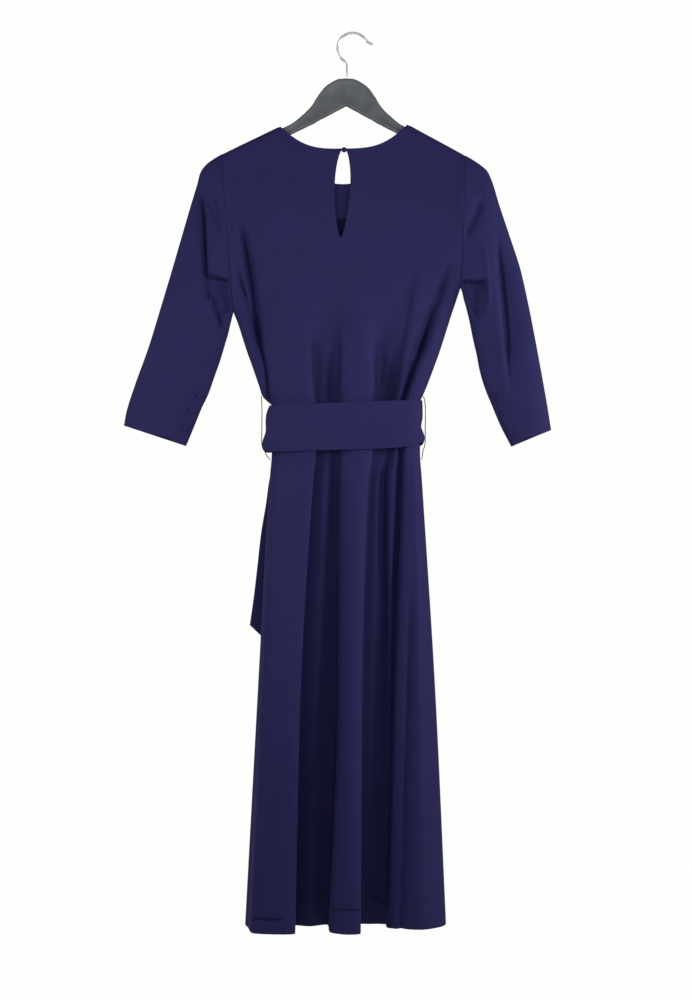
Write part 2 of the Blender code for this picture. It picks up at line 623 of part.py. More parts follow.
def belt():
    for name, face in (("belt_front", 1), ("belt_back", -1)):
        rows = []
        for r in range(len(BELT_ROWS)):
            row = [belt_point(r, face * math.pi * k / BELT_STEPS) for k in range(BELT_STEPS + 1)]
            part_edge(row[0], row[1], face, 0.0, DOUBLE_CLOTH, 0)
            part_edge(row[-1], row[-2], face, 0.0, DOUBLE_CLOTH, 0)
            rows.append(row)
        GRIDS[name] = rows
        sheet(name, rows, "navy crepe", DOUBLE_CLOTH)


def belt_knot():
    """A soft round knot, drawn in across its middle, from a coarse cage."""
    shape = bmesh.new()
    bmesh.ops.create_cube(shape, size=1.0)
    bmesh.ops.subdivide_edges(shape, edges=shape.edges, cuts=2, use_grid_fill=True)
    for vert in shape.verts:
        band = abs(vert.co.z) < 0.2
        vert.co.x *= KNOT_SIZE[0] * (0.82 if band else 1.0)
        vert.co.y *= KNOT_SIZE[1] * (1.12 if band else 1.0)
        vert.co.z *= KNOT_SIZE[2]
        vert.co = (vert.co + Vector(KNOT_CENTRE)) * MM
    mesh = bpy.data.meshes.new("belt_knot")
    shape.to_mesh(mesh)
    shape.free()
    mesh.shade_smooth()
    made = place("belt_knot", mesh, "navy crepe")
    soft = made.modifiers.new("soft", "SUBSURF")
    soft.levels = 1
    soft.render_levels = 1


def tie_end(side):
    """One hanging end of the belt, lying on the skirt's front, with its slanting cut."""
    end = TIE_ENDS[side]
    lift = (CLOTH + DOUBLE_CLOTH) / 2 + SEAM + ON_FACETS
    rows = []
    last = len(TIE_ROWS) - 1
    for r, z in enumerate(TIE_ROWS):
        skirt = section(FRONT_FOLDS, BACK_FOLDS, 1, z)
        under = [p.y for p in skirt if end.left[r] - 12 < p.x < end.right[r] + 12]
        y = max(max(under) + lift, KNOT_CENTRE[1] - 3.0 * r)
        row = []
        for k in range(TIE_STEPS + 1):
            share = k / TIE_STEPS
            slant = share if end.lead > 0 else 1 - share
            drop = abs(end.lead) * slant * (r / last) ** 3
            bow = TIE_BOW * math.sin(math.pi * share)
            row.append(Vector((mix(end.left[r], end.right[r], share), y + bow, z - drop)))
        rows.append(row)
    for r in range(1, last):        # no sudden steps down the length
        for k in range(TIE_STEPS + 1):
            rows[r][k].y = max(rows[r][k].y, (rows[r - 1][k].y + rows[r + 1][k].y) / 2)
    return sheet("tie_end_" + side, rows, "navy crepe", DOUBLE_CLOTH)


def down_seam(side, z):
    """Point of a side seam at a height, on the straight lines between the cloth's rows."""
    column = 0 if side == "left" else -1
    ends = [row[column] for row in GRIDS["dress_back"] if row[column].z < SIDES[side].underarm[1]]
    upper, lower = next(pair for pair in zip(ends, ends[1:]) if pair[1].z <= z <= pair[0].z)
    return upper.lerp(lower, (upper.z - z) / (upper.z - lower.z))


def belt_loop(side):
    """Thread loop at the side seam, which the belt passes through."""
    out, angle = (-1, math.pi) if side == "left" else (1, 0.0)
    points = []
    reach = [belt_point(r, angle).x for r in range(len(BELT_ROWS))]
    clear = (min(reach) if out < 0 else max(reach)) + out * (DOUBLE_CLOTH / 2 + THREAD / 2 + SEAM)
    for k in range(LOOP_STEPS + 1):
        share = k / LOOP_STEPS
        z = mix(*LOOP_ENDS, share)
        seam = down_seam(side, z)
        away = ease(share / 0.13) * ease((1 - share) / 0.13)
        start = seam.x + out * (CLOTH / 2 + THREAD / 2 + SEAM + 0.4)
        points.append(Vector((mix(start, clear, away), seam.y, z)))
    wire("belt_loop_" + side, points, THREAD, "navy thread")


# ---------------------------------------------------------------------------- the hanger
def hanger_body():
    """Crown and two arms: rounded sections lofted from tip to tip."""
    arm = HANGER_SECTIONS
    stations = [s._replace(x=-s.x) for s in reversed(arm)] + list(arm[1:])
    shape = bmesh.new()
    rings = []
    for s in stations:
        middle = (s.top + s.bottom) / 2 + HANGER_TILT * s.x
        ring = []
        for k in range(HANGER_SIDES):
            up, deep = rounded(2 * math.pi * (k + 0.5) / HANGER_SIDES, HANGER_POWER)
            at = Vector((HANGER_CENTRE_X + s.x, deep * s.half_depth,
                         middle + up * (s.top - s.bottom) / 2))
            ring.append(shape.verts.new(at * MM))
        rings.append(ring)
    for a, b in zip(rings, rings[1:]):
        for k in range(HANGER_SIDES):
            after = (k + 1) % HANGER_SIDES
            shape.faces.new((a[k], b[k], b[after], a[after]))
    shape.faces.new(rings[0])
    shape.faces.new(reversed(rings[-1]))
    bmesh.ops.recalc_face_normals(shape, faces=shape.faces)
    mesh = bpy.data.meshes.new("hanger_body")
    shape.to_mesh(mesh)
    shape.free()
    mesh.shade_smooth()
    return place("hanger_body", mesh, "black plastic")


def hanger_hook():
    """Wire hook: stem, slanting neck, round bow and flared tip."""
    centre = Vector((-DRESS_MIDDLE, 0, HOOK_WIRE / 2 - HOOK_RADIUS))
    foot = HANGER_SECTIONS[0].top + SEAM
    route = [Vector((HOOK_STEM_X + aside, 0, foot + up)) for aside, up in HOOK_NECK]
    for k in range(9):
        angle = math.radians(mix(HOOK_START, HOOK_END, k / 8))
        route.append(centre + Vector((math.cos(angle), 0, math.sin(angle))) * HOOK_RADIUS)
    route.extend(Vector((x, 0, z)) for x, z in HOOK_TIP)
    return wire("hanger_hook", between(route, 2), HOOK_WIRE, "chromed wire", sides=3)


# -------------------------------------------------------------------------------- build
def build():
    for old in list(bpy.data.objects):
        bpy.data.objects.remove(old, do_unlink=True)
    collection = bpy.data.collections.new("a_line_dress")
    bpy.context.scene.collection.children.link(collection)
    panel("dress_back", BACK_FOLDS, FRONT_FOLDS, -1, (2, 12), keyhole_fold=7)
    panel("dress_front", FRONT_FOLDS, BACK_FOLDS, 1, (2, 10))
    for side in ("left", "right"):
        sleeve(side)
        cuff(side)
        tie_end(side)
        belt_loop(side)
    neck_facing()
    neck_button()
    belt()
    belt_knot()
    hanger_body()
    hanger_hook()


build()
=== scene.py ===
import math
from collections import namedtuple

import bmesh
import bpy
import numpy as np
from mathutils import Matrix, Vector, noise
from mathutils.bvhtree import BVHTree


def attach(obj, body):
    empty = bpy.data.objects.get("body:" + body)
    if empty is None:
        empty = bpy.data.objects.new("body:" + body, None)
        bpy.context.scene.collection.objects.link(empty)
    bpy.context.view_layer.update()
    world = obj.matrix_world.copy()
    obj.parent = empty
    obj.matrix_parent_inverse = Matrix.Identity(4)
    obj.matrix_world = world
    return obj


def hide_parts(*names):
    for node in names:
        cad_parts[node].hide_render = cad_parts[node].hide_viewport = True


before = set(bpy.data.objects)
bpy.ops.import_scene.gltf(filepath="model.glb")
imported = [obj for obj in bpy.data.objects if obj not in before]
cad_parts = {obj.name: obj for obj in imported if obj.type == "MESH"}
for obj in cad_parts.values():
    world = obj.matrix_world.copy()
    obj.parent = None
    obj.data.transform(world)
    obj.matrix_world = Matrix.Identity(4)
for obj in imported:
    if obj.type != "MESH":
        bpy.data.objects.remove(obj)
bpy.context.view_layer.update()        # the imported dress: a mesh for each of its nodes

# An A-line dress of navy crepe with three-quarter sleeves and a tie belt, on a coat hanger.
# The tables are in millimetres from the middle of the dress; left is -X and the back is -Y.
MM = 0.001
DRESS_MIDDLE = -9.0         # x of the dress's centre line from the hook's
CLOTH = 1.0                 # crepe with its turned edges
DOUBLE_CLOTH = 2.0          # the belt, sewn double
SEAM = 0.3
CAD_CLOTH = 1.6             # wall of the plain model, which pieces that lie on the dress clear
DOUBLE_ROUND = 0.7          # how far the belt's edges are rounded
OUTWARDS = {"left": -1, "right": 1}

# --- camera, light, floor
VIEW_DISTANCE, SENSOR_HEIGHT = 3.0, 24.0
VIEW_X, VIEW_Z = -0.0106, -0.7363
VIEW_HALF_HEIGHT = 0.79     # what the picture's upper half takes in at the dress
FLOOR_Z = -1.75
CARD_POWER = 11             # of each card that the hook's wire mirrors


def placed(name, data):
    """A new object in the scene."""
    made = bpy.data.objects.new(name, data)
    bpy.context.scene.collection.objects.link(made)
    return made


def set_camera():
    data = bpy.data.cameras.new("view")
    data.sensor_fit = "VERTICAL"
    data.sensor_height = SENSOR_HEIGHT
    data.lens = SENSOR_HEIGHT / 2 * VIEW_DISTANCE / VIEW_HALF_HEIGHT
    data.clip_start = 0.05
    camera = placed("view", data)
    camera.location = (VIEW_X, -VIEW_DISTANCE, VIEW_Z)
    camera.rotation_euler = (math.radians(90), 0, 0)
    bpy.context.scene.camera = camera


def soft_light(name, at, towards, size, power, colour=(1, 1, 1), spread=180):
    data = bpy.data.lights.new(name, "AREA")
    data.shape = "RECTANGLE"
    data.size, data.size_y = size
    data.energy = power
    data.color = colour
    data.spread = math.radians(spread)
    light = placed(name, data)
    light.location = at
    light.rotation_euler = (Vector(towards) - Vector(at)).to_track_quat("-Z", "Y").to_euler()
    light.visible_camera = False
    return light


def set_cards(wire):
    """White cards round the hook, which light nothing else, for its plating to mirror."""
    only = bpy.data.collections.new("mirrors the cards")
    only.objects.link(wire)
    for name, x, y in (("front card", 0, -1.3), ("left card", -1.3, -0.1), ("right card", 1.3, -0.1)):
        card = soft_light(name, (x, y, 0.1), (0, 0, -0.03), (2.4, 2.4), CARD_POWER)
        card.light_linking.receiver_collection = only


def set_light():
    bpy.context.scene.view_settings.view_transform = "Standard"
    waist, skirt = (0, 0, -0.52), (0, 0, -0.62)
    soft_light("front light", (0.0, -1.35, -0.5), waist, (0.8, 0.6), 2.45, spread=120)
    soft_light("left light", (-1.3, -0.95, -0.42), waist, (0.35, 0.8), 3.1, spread=120)
    soft_light("right light", (1.3, -0.95, -0.42), waist, (0.35, 0.8), 4.6, spread=120)
    soft_light("left edge light", (-1.75, -0.3, -0.3), skirt, (0.3, 1.0), 4.5)
    soft_light("right edge light", (1.65, -0.2, -0.6), skirt, (0.4, 1.2), 10.0, (1.0, 0.93, 0.98))
    soft_light("far light", (-0.6, 2.8, 0.4), skirt, (1.8, 1.2), 46)
    world = bpy.data.worlds.new("pale room")
    world.use_nodes = True
    tree = world.node_tree
    tree.nodes.clear()
    lit = node(tree, "Background", {"Color": (0.97, 0.98, 1.0, 1), "Strength": 0.13})
    seen = node(tree, "Background", {"Color": (0.99, 0.99, 0.975, 1)})
    path = node(tree, "LightPath")
    either = node(tree, "MixShader", {"Fac": path.outputs["Is Camera Ray"],
                                      1: lit.outputs[0], 2: seen.outputs[0]})
    node(tree, "OutputWorld", {"Surface": either.outputs[0]})
    bpy.context.scene.world = world


def lay_floor():
    bpy.ops.mesh.primitive_circle_add(vertices=96, radius=0.8, fill_type="NGON",
                                      location=(DRESS_MIDDLE * MM, 0, FLOOR_Z))
    floor = bpy.context.object
    floor.name = "floor"
    bpy.ops.object.transform_apply()
    pale, tree = blank("pale floor")
    fill(tree, tree.nodes["Principled BSDF"], {"Base Color": (0.84, 0.84, 0.83, 1), "Roughness": 0.7})
    floor.data.materials.append(pale)


# --- finishes
def blank(name):
    """A new material and its nodes."""
    made = bpy.data.materials.new(name)
    made.use_nodes = True
    return made, made.node_tree


def fill(tree, made, inputs):
    """Give a node's inputs their values, or the outputs of other nodes."""
    for name, value in inputs.items():
        if isinstance(value, bpy.types.NodeSocket):
            tree.links.new(value, made.inputs[name])
        else:
            made.inputs[name].default_value = value


def node(tree, kind, inputs={}, **settings):
    """A new shader node."""
    made = tree.nodes.new("ShaderNode" + kind)
    for name, value in settings.items():
        setattr(made, name, value)
    fill(tree, made, inputs)
    return made


def pebble_group():
    """Crepe's pebbled face: fine crinkles over a twisted weave, and slow changes of shade."""
    made = bpy.data.node_groups.new("crepe pebble", "ShaderNodeTree")
    for name, way, kind in (("Place", "INPUT", "Vector"), ("Along cloth", "INPUT", "Vector"),
                            ("Height", "OUTPUT", "Float"), ("Shade", "OUTPUT", "Float")):
        made.interface.new_socket(name, in_out=way, socket_type="NodeSocket" + kind)
    start, end = made.nodes.new("NodeGroupInput").outputs, made.nodes.new("NodeGroupOutput")
    crinkle, slow = (
        node(made, "TexNoise", {"Vector": start["Place"], "Scale": scale, "Detail": detail,
                                "Roughness": rough}).outputs["Fac"]
        for scale, detail, rough in ((950.0, 3.0, 0.6), (26.0, 2.0, 0.5)))
    warp, weft = (
        node(made, "TexWave", {"Vector": start["Along cloth"], "Scale": scale, "Distortion": 1.6,
                               "Detail": 1.0}, bands_direction=way).outputs["Fac"]
        for way, scale in (("X", 260.0), ("Y", 230.0)))
    threads = node(made, "Math", {0: warp, 1: weft}, operation="MULTIPLY").outputs[0]
    height = node(made, "Math", {0: threads, 1: 0.4, 2: crinkle}, operation="MULTIPLY_ADD").outputs[0]
    patches = node(made, "Math", {0: slow, 1: 0.45}, operation="MULTIPLY").outputs[0]
    shade = node(made, "Math", {0: height, 1: 0.55, 2: patches}, operation="MULTIPLY_ADD").outputs[0]
    fill(made, end, {"Height": height, "Shade": shade})
    return made


def pebble(tree):
    """Crepe's shade and height."""
    made = node(tree, "Group", {"Place": node(tree, "TexCoord").outputs["Object"],
                                "Along cloth": node(tree, "UVMap", uv_map="cloth").outputs["UV"]},
                node_tree=bpy.data.node_groups["crepe pebble"])
    return made.outputs["Shade"], made.outputs["Height"]


def texture(tree, kind, inputs, **settings):
    """What a texture that is fixed to the piece gives."""
    place = node(tree, "TexCoord").outputs["Object"]
    return node(tree, "Tex" + kind, {"Vector": place, **inputs}, **settings).outputs["Fac"]


def plies(tree):
    """Slanting plies along a thread."""
    made = texture(tree, "Wave", {"Scale": 700.0, "Distortion": 1.0}, bands_direction="DIAGONAL")
    return made, made


def moulded(tree):
    """Rubbed patches, and a fine grain."""
    return (texture(tree, "Noise", {"Scale": 45.0, "Detail": 3.0}),
            texture(tree, "Noise", {"Scale": 1100.0, "Detail": 2.0}))


def dulled(tree):
    """Dull patches on polished wire."""
    return texture(tree, "Noise", {"Scale": 160.0, "Detail": 4.0, "Roughness": 0.7}), None


def patterned(name, pattern, stops, rough, bump, others):
    """A material.  pattern gives what its colour and roughness run along, and its height.

    stops are the places and colours at the pattern's two ends, rough the roughness there,
    bump the strength and depth of its relief, others values for the shader's other inputs.
    """
    made, tree = blank(name)
    shade, height = pattern(tree)
    colour = node(tree, "ValToRGB", {"Fac": shade})
    for element, (place, tone) in zip(colour.color_ramp.elements, stops):
        element.position = place
        element.color = (*tone, 1)
    inputs = {"Base Color": colour.outputs["Color"], **others}
    spread = node(tree, "MapRange", {"Value": shade, "To Min": rough[0], "To Max": rough[1]})
    inputs["Roughness"] = spread.outputs["Result"]
    if height:
        relief = node(tree, "Bump", {"Height": height, "Strength": bump[0], "Distance": bump[1]})
        inputs["Normal"] = relief.outputs["Normal"]
    fill(tree, tree.nodes["Principled BSDF"], inputs)
    return made


def make_finishes():
    """The crepe, a copy of it painted lighter for the facing, thread, satin plastic and plated wire."""
    pebble_group()
    matte = {           # with a faint sheen where it turns away
        "Specular IOR Level": 0.14, "Sheen Weight": 0.06, "Sheen Roughness": 0.3,
        "Sheen Tint": (0.45, 0.42, 1.0, 1)}
    # the facing's crepe is the same crepe painted about twice as light: painted light, standing in for the
    # light that reaches the facing inside the keyhole
    for finish, dark, light in (("crepe", (0.0185, 0.0172, 0.083), (0.0255, 0.0238, 0.109)),
                                ("facing crepe painted lighter", (0.045, 0.045, 0.185), (0.058, 0.058, 0.232))):
        FINISHES[finish] = patterned("navy " + finish, pebble, ((0.25, dark), (0.85, light)),
                                     (0.86, 0.7), (0.3, 0.0004), matte)
    FINISHES["thread"] = patterned("navy thread", plies, ((0, (0.017, 0.018, 0.048)),
                                                          (1, (0.040, 0.042, 0.096))),
                                   (0.6, 0.6), (0.5, 0.0002), {"Sheen Weight": 0.2})
    FINISHES["plastic"] = patterned("grey hanger plastic", moulded,
                                    ((0.3, (0.100, 0.111, 0.121)), (0.75, (0.136, 0.151, 0.165))),
                                    (0.3, 0.48), (0.2, 0.0001), {})
    FINISHES["wire"] = patterned("plated hook wire", dulled, ((0, (0.42, 0.42, 0.43)),
                                                              (1, (0.68, 0.68, 0.70))),
                                 (0.14, 0.34), None, {"Metallic": 1.0})


# --- curves and lines
def mix(a, b, share):
    return a + (b - a) * share


def ease(share):
    share = np.clip(share, 0.0, 1.0)
    return share * share * (3.0 - 2.0 * share)


def steady(stations, values, at):
    """Smooth curve through values at falling stations, with no overshoot between them."""
    s, v, at = np.asarray(stations, float), np.asarray(values, float), np.asarray(at, float)
    rise = np.diff(v) / np.diff(s)
    before, after = np.concatenate([rise[:1], rise]), np.concatenate([rise, rise[-1:]])
    same_way = before * after > 0
    slope = np.where(same_way, 2 * before * after / np.where(same_way, before + after, 1), 0)
    k = np.clip(np.searchsorted(-s, -at, side="right") - 1, 0, len(s) - 2)
    run = s[k + 1] - s[k]
    t = (at - s[k]) / run
    return (v[k] * (1 + 2 * t) * (1 - t) ** 2 + slope[k] * run * t * (1 - t) ** 2
            + v[k + 1] * t * t * (3 - 2 * t) + slope[k + 1] * run * t * t * (t - 1))


def between(points, steps, crisp=0.0):
    """Centripetal Catmull-Rom curve: the first and last points only steer it.

    steps holds a number for each span, or one for all; crisp draws the curve towards the
    straight lines between the points, so that it turns more sharply at them.
    """
    p = np.asarray(points, float)
    roots = np.sqrt(np.maximum(np.linalg.norm(np.diff(p, axis=0), axis=1), 1e-6))
    made = []
    for k in range(len(p) - 3):
        p0, p1, p2, p3 = p[k:k + 4]
        g0, g1, g2 = roots[k:k + 3]
        count = steps if isinstance(steps, int) else steps[k]
        share = (np.arange(count) / count)[:, None]
        t = g1 * share
        a1 = p0 + (p1 - p0) * (t + g0) / g0
        a2 = p1 + (p2 - p1) * t / g1
        a3 = p2 + (p3 - p2) * (t - g1) / g2
        b1 = a1 + (a2 - a1) * (t + g0) / (g0 + g1)
        b2 = a2 + (a3 - a2) * t / (g1 + g2)
        made.append(mix(b1 + (b2 - b1) * t / g1, mix(p1, p2, share), crisp))
    return np.concatenate([*made, p[-2:-1]])


def curve_through(points, steps):
    """Smooth curve through all the points."""
    p = np.asarray(points, float)
    return between(np.concatenate([[2 * p[0] - p[1]], p, [2 * p[-1] - p[-2]]]), steps)


def rounded(angle, power):
    """Point of a unit superellipse, its first coordinate 1 at angle 0."""
    c, s = np.cos(angle), np.sin(angle)
    return (np.copysign(np.abs(c) ** (2.0 / power), c), np.copysign(np.abs(s) ** (2.0 / power), s))


Crease = namedtuple("Crease", "height left right path fade", defaults=((0.2, 0.2),))
CREASE_POWER, CREASE_REACH = 1.6, 2.6


def creases_at(creases, x, z):
    """Height of soft ridges and troughs at points.

    A crease's height is in millimetres, outwards; left and right are its widths on the
    two sides of its path, which runs downwards; fade is the share of its length over
    which each end dies away.
    """
    total = np.zeros(np.shape(x))
    for crease in (Crease(*row) for row in creases):
        line = curve_through(crease.path, 4)
        reach = CREASE_REACH * max(crease.left, crease.right)
        near = ((x > line[:, 0].min() - reach) & (x < line[:, 0].max() + reach)
                & (z > line[:, 1].min() - reach) & (z < line[:, 1].max() + reach))
        px, pz = x[near], z[near]
        best = np.full(px.shape, 1e9)
        side, share = np.zeros(px.shape), np.zeros(px.shape)
        for k, ((ax, az), (bx, bz)) in enumerate(zip(line, line[1:])):
            dx, dz = bx - ax, bz - az
            s = np.clip(((px - ax) * dx + (pz - az) * dz) / (dx * dx + dz * dz), 0, 1)
            away = np.hypot(px - ax - s * dx, pz - az - s * dz)
            closer = away < best
            best = np.where(closer, away, best)
            share = np.where(closer, (k + s) / (len(line) - 1), share)
            side = np.where(closer, dx * (pz - az) - dz * (px - ax), side)
        width = np.where(side < 0, crease.left, crease.right)
        height = crease.height * np.exp(-(best / width) ** CREASE_POWER)
        for fade, run in zip(crease.fade, (share, 1 - share)):
            if fade:
                height *= ease(run / fade)
        total[near] += height
    return total


def slow_waves(x, z, seed, wide=70.0, tall=260.0):
    """Gentle unevenness of hanging cloth, from -1 to 1, longer down than across."""
    flat = [noise.noise(Vector((a / wide, b / tall, seed))) for a, b in zip(np.ravel(x), np.ravel(z))]
    return np.reshape(flat, np.shape(x))


# --- making pieces
FINISHES = {}
SURFACES = {}               # search trees of the cloth's middle surfaces, in millimetres
FAR_OFF = 400.0             # where lines that look for a cloth start
THREAD = 1.6
PLY_THICKNESS, PLY_OFFSET = 0.52, 0.24       # shares of the thread's thickness
STRAND_SIDES, STRAND_TIP = 6, 0.6


def finished(made, node_name, finish="crepe"):
    made.data.materials.clear()
    made.data.materials.append(FINISHES[finish])
    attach(made, "root")
    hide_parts(node_name)
    return made


def apply_modifier(made, kind, **values):
    modifier = made.modifiers.new(kind.lower(), kind)
    for name, value in values.items():
        setattr(modifier, name, value)
    bpy.ops.object.select_all(action="DESELECT")
    bpy.context.view_layer.objects.active = made
    made.select_set(True)
    bpy.ops.object.modifier_apply(modifier=modifier.name)


def round_edges(made, width, segments, sharper_than):
    """Bevel the edges that turn by more than an angle in degrees; width in millimetres."""
    apply_modifier(made, "BEVEL", width=width * MM, segments=segments, limit_method="ANGLE",
                   angle_limit=math.radians(sharper_than))


def draw_out(x, z):
    """Extrude the selected faces by x and z in millimetres."""
    bpy.ops.mesh.extrude_region_move(TRANSFORM_OT_translate={"value": (x * MM, 0, z * MM)})


def corners(grid):
    """The four corners of each square of a grid."""
    return np.stack([grid[:-1, :-1], grid[1:, :-1], grid[1:, 1:], grid[:-1, 1:]], axis=2)


def cloth(node_name, grid, wall, tube=False, slit=None, edge_round=0.3, finish="crepe"):
    """Cloth wall through a grid of points (rows, columns, 3) in millimetres.

    A tube's rows are rings.  slit is (row, column, right_hand_points): above that row the
    column has a second set of points, so that the cloth is open there.
    """
    name = node_name + "_crepe"
    grid = np.asarray(grid, float)
    rows, columns = grid.shape[:2]
    points = grid.reshape(-1, 3)
    index = np.arange(rows * columns).reshape(rows, columns)
    if tube:
        index = np.concatenate([index, index[:, :1]], axis=1)
    faces = corners(index)
    if slit is not None:
        slit_row, slit_column, right_points = slit
        second = np.arange(slit_row) + len(points)
        points = np.concatenate([points, right_points[:slit_row]])
        faces[:slit_row, slit_column, 0] = second
        faces[:slit_row - 1, slit_column, 1] = second[1:]
    across = np.linalg.norm(np.diff(grid, axis=1, append=grid[:, :1] if tube else grid[:, -1:]), axis=-1)
    down = np.linalg.norm(np.diff(grid, axis=0, prepend=grid[:1]), axis=-1).mean(axis=1)
    u = np.concatenate([np.zeros((rows, 1)), np.cumsum(across, axis=1)], axis=1)[:, :index.shape[1]]
    u -= u.mean(axis=1, keepdims=True)
    v = -np.broadcast_to(np.cumsum(down)[:, None], u.shape)
    uv = corners(np.stack([u, v], axis=-1)) * MM
    faces = faces.reshape(-1, 4).tolist()
    SURFACES[node_name] = BVHTree.FromPolygons(points.tolist(), faces)
    mesh = bpy.data.meshes.new(name)
    mesh.from_pydata((points * MM + (DRESS_MIDDLE * MM, 0, 0)).tolist(), [], faces)
    mesh.uv_layers.new(name="cloth").data.foreach_set("uv", uv.ravel())
    mesh.update()
    made = placed(name, mesh)
    apply_modifier(made, "SOLIDIFY", thickness=wall * MM, offset=0.0, use_quality_normals=True)
    round_edges(made, edge_round, 2, 62)
    made.data.shade_smooth()
    return finished(made, node_name, finish)


def landing(node_name, x, z, face):
    """Point and outward direction where a line along Y through (x, z) meets a cloth, or two None."""
    at, out, _, _ = SURFACES[node_name].ray_cast(Vector((x, face * FAR_OFF, z)), Vector((0, -face, 0)))
    return at, -out if at and out.y * face < 0 else out


def skinned(name, rings):
    """A closed body round rings of points in millimetres."""
    shape = bmesh.new()
    rings = [[shape.verts.new((Vector(at) + Vector((DRESS_MIDDLE, 0, 0))) * MM) for at in ring]
             for ring in rings]
    sides = len(rings[0])
    for a, b in zip(rings, rings[1:]):
        for k in range(sides):
            shape.faces.new((a[k], a[(k + 1) % sides], b[(k + 1) % sides], b[k]))
    shape.faces.new(reversed(rings[0]))
    shape.faces.new(rings[-1])
    bmesh.ops.recalc_face_normals(shape, faces=shape.faces)
    mesh = bpy.data.meshes.new(name)
    shape.to_mesh(mesh)
    shape.free()
    mesh.shade_smooth()
    return placed(name, mesh)


def circled(path, radii, angles):
    """For each point of a path a list of points round it, at angles to a direction square to it."""
    normal = None
    for k, point in enumerate(path):
        run = (path[min(k + 1, len(path) - 1)] - path[max(k - 1, 0)]).normalized()
        if normal is None:
            normal = run.orthogonal().normalized()
        normal = (normal - run * normal.dot(run)).normalized()
        other = run.cross(normal)
        yield [point + (normal * math.cos(angle) + other * math.sin(angle)) * radii[k]
               for angle in angles[k]]


def strand(name, path, thickness):
    """Round strand, narrower at its two closed ends."""
    radii = [thickness / 2] * len(path)
    radii[0] = radii[-1] = thickness / 2 * STRAND_TIP
    angles = [[2 * math.pi * turn / STRAND_SIDES for turn in range(STRAND_SIDES)]] * len(path)
    return skinned(name, circled(path, radii, angles))


def twisted(name, points, turns):
    """Three plies of thread laid round each other along a path."""
    path = [Vector(p) for p in curve_through(points, 4)]
    plies = []
    for ply in range(3):
        angles = [[2 * math.pi * (ply / 3 + turns * k / len(path))] for k in range(len(path))]
        line = [at for at, in circled(path, [THREAD * PLY_OFFSET] * len(path), angles)]
        plies.append(strand(name + str(ply), line, THREAD * PLY_THICKNESS))
    bpy.ops.object.select_all(action="DESELECT")
    for ply in plies:
        ply.select_set(True)
    made = bpy.context.view_layer.objects.active = plies[0]
    bpy.ops.object.join()
    made.name = made.data.name = name
    return made


# --- the body
NECK_LEFT, NECK_RIGHT = (-105.0, -146.0), (95.0, -143.0)   # shoulder seams' inner ends
NECK_DROP = {-1: 38.5, 1: 90.0}
NECK_POWER = {-1: 3.0, 1: 2.2}
NECK_CROWD = 0.85
NECK_ROUND, NECK_ROUND_DROP = 9.0, 1.8       # the shoulder seams' rounded inner ends
NECK_MIDDLE = (NECK_LEFT[0] + NECK_RIGHT[0]) / 2
NECK_HALF = (NECK_RIGHT[0] - NECK_LEFT[0]) / 2
ROUND_DEPTH, ROUND_DROP = 10.0, 11.0        # cloth turning over the hanger's arm
CHEST_DEPTH, CHEST_DROP = 20.0, 150.0
KEYHOLE_WIDTH, KEYHOLE_TOP_GAP, KEYHOLE_SHARE = 24.4, 6.0, 0.895
KEYHOLE_LOW, KEYHOLE_FULL = 0.8, 0.6
KEYHOLE_REACH = 0.30                        # share of the neck over which the cloth gives way
ARMHOLE_DEPTH, ARMHOLE_POWER, ARMHOLE_GAP, UNDERARM_GAP = 20.0, 2.6, 0.35, 0.9
ARMHOLE_BAND = 16.0

CHEST, RIBS, BLOUSE, BELT_TOP, BELT_BOTTOM = -341.0, -452.0, -566.0, -592.0, -660.0
HIP, KNEE, HEM = -705.0, -1052.0, -1408.0
LEVELS = (CHEST, RIBS, BLOUSE, BELT_TOP, BELT_BOTTOM, HIP, KNEE, HEM)
BLOUSE_FULLNESS, BLOUSE_SPREAD = 1.12, 1.09

Side = namedtuple("Side", "tip underarm seam waist hip knee hem")
SIDES = {       # the armhole's two ends; rows (z, x) down the side seam; (x, y) at the levels
    "left": Side((-198, -191), (-179, -440),
                 ((-452, -174), (-463, -170), (-482, -164), (-501, -158), (-520, -151),
                  (-539, -144.5), (-558, -138), (-572, -133.5), (-580, -126), (-587, -119)),
                 (-118.5, 0), (-122, 0), (-141.5, 4), (-161, 8)),
    "right": Side((187, -193), (179, -401),
                  ((-425, 171), (-444, 164.5), (-463, 158.5), (-482, 152.5), (-501, 146.3),
                   (-520, 139.5), (-539, 132.4), (-558, 125), (-570, 119.5), (-581, 115)),
                  (115, 0), (118, 0), (140, 4), (156.5, 8)),
}

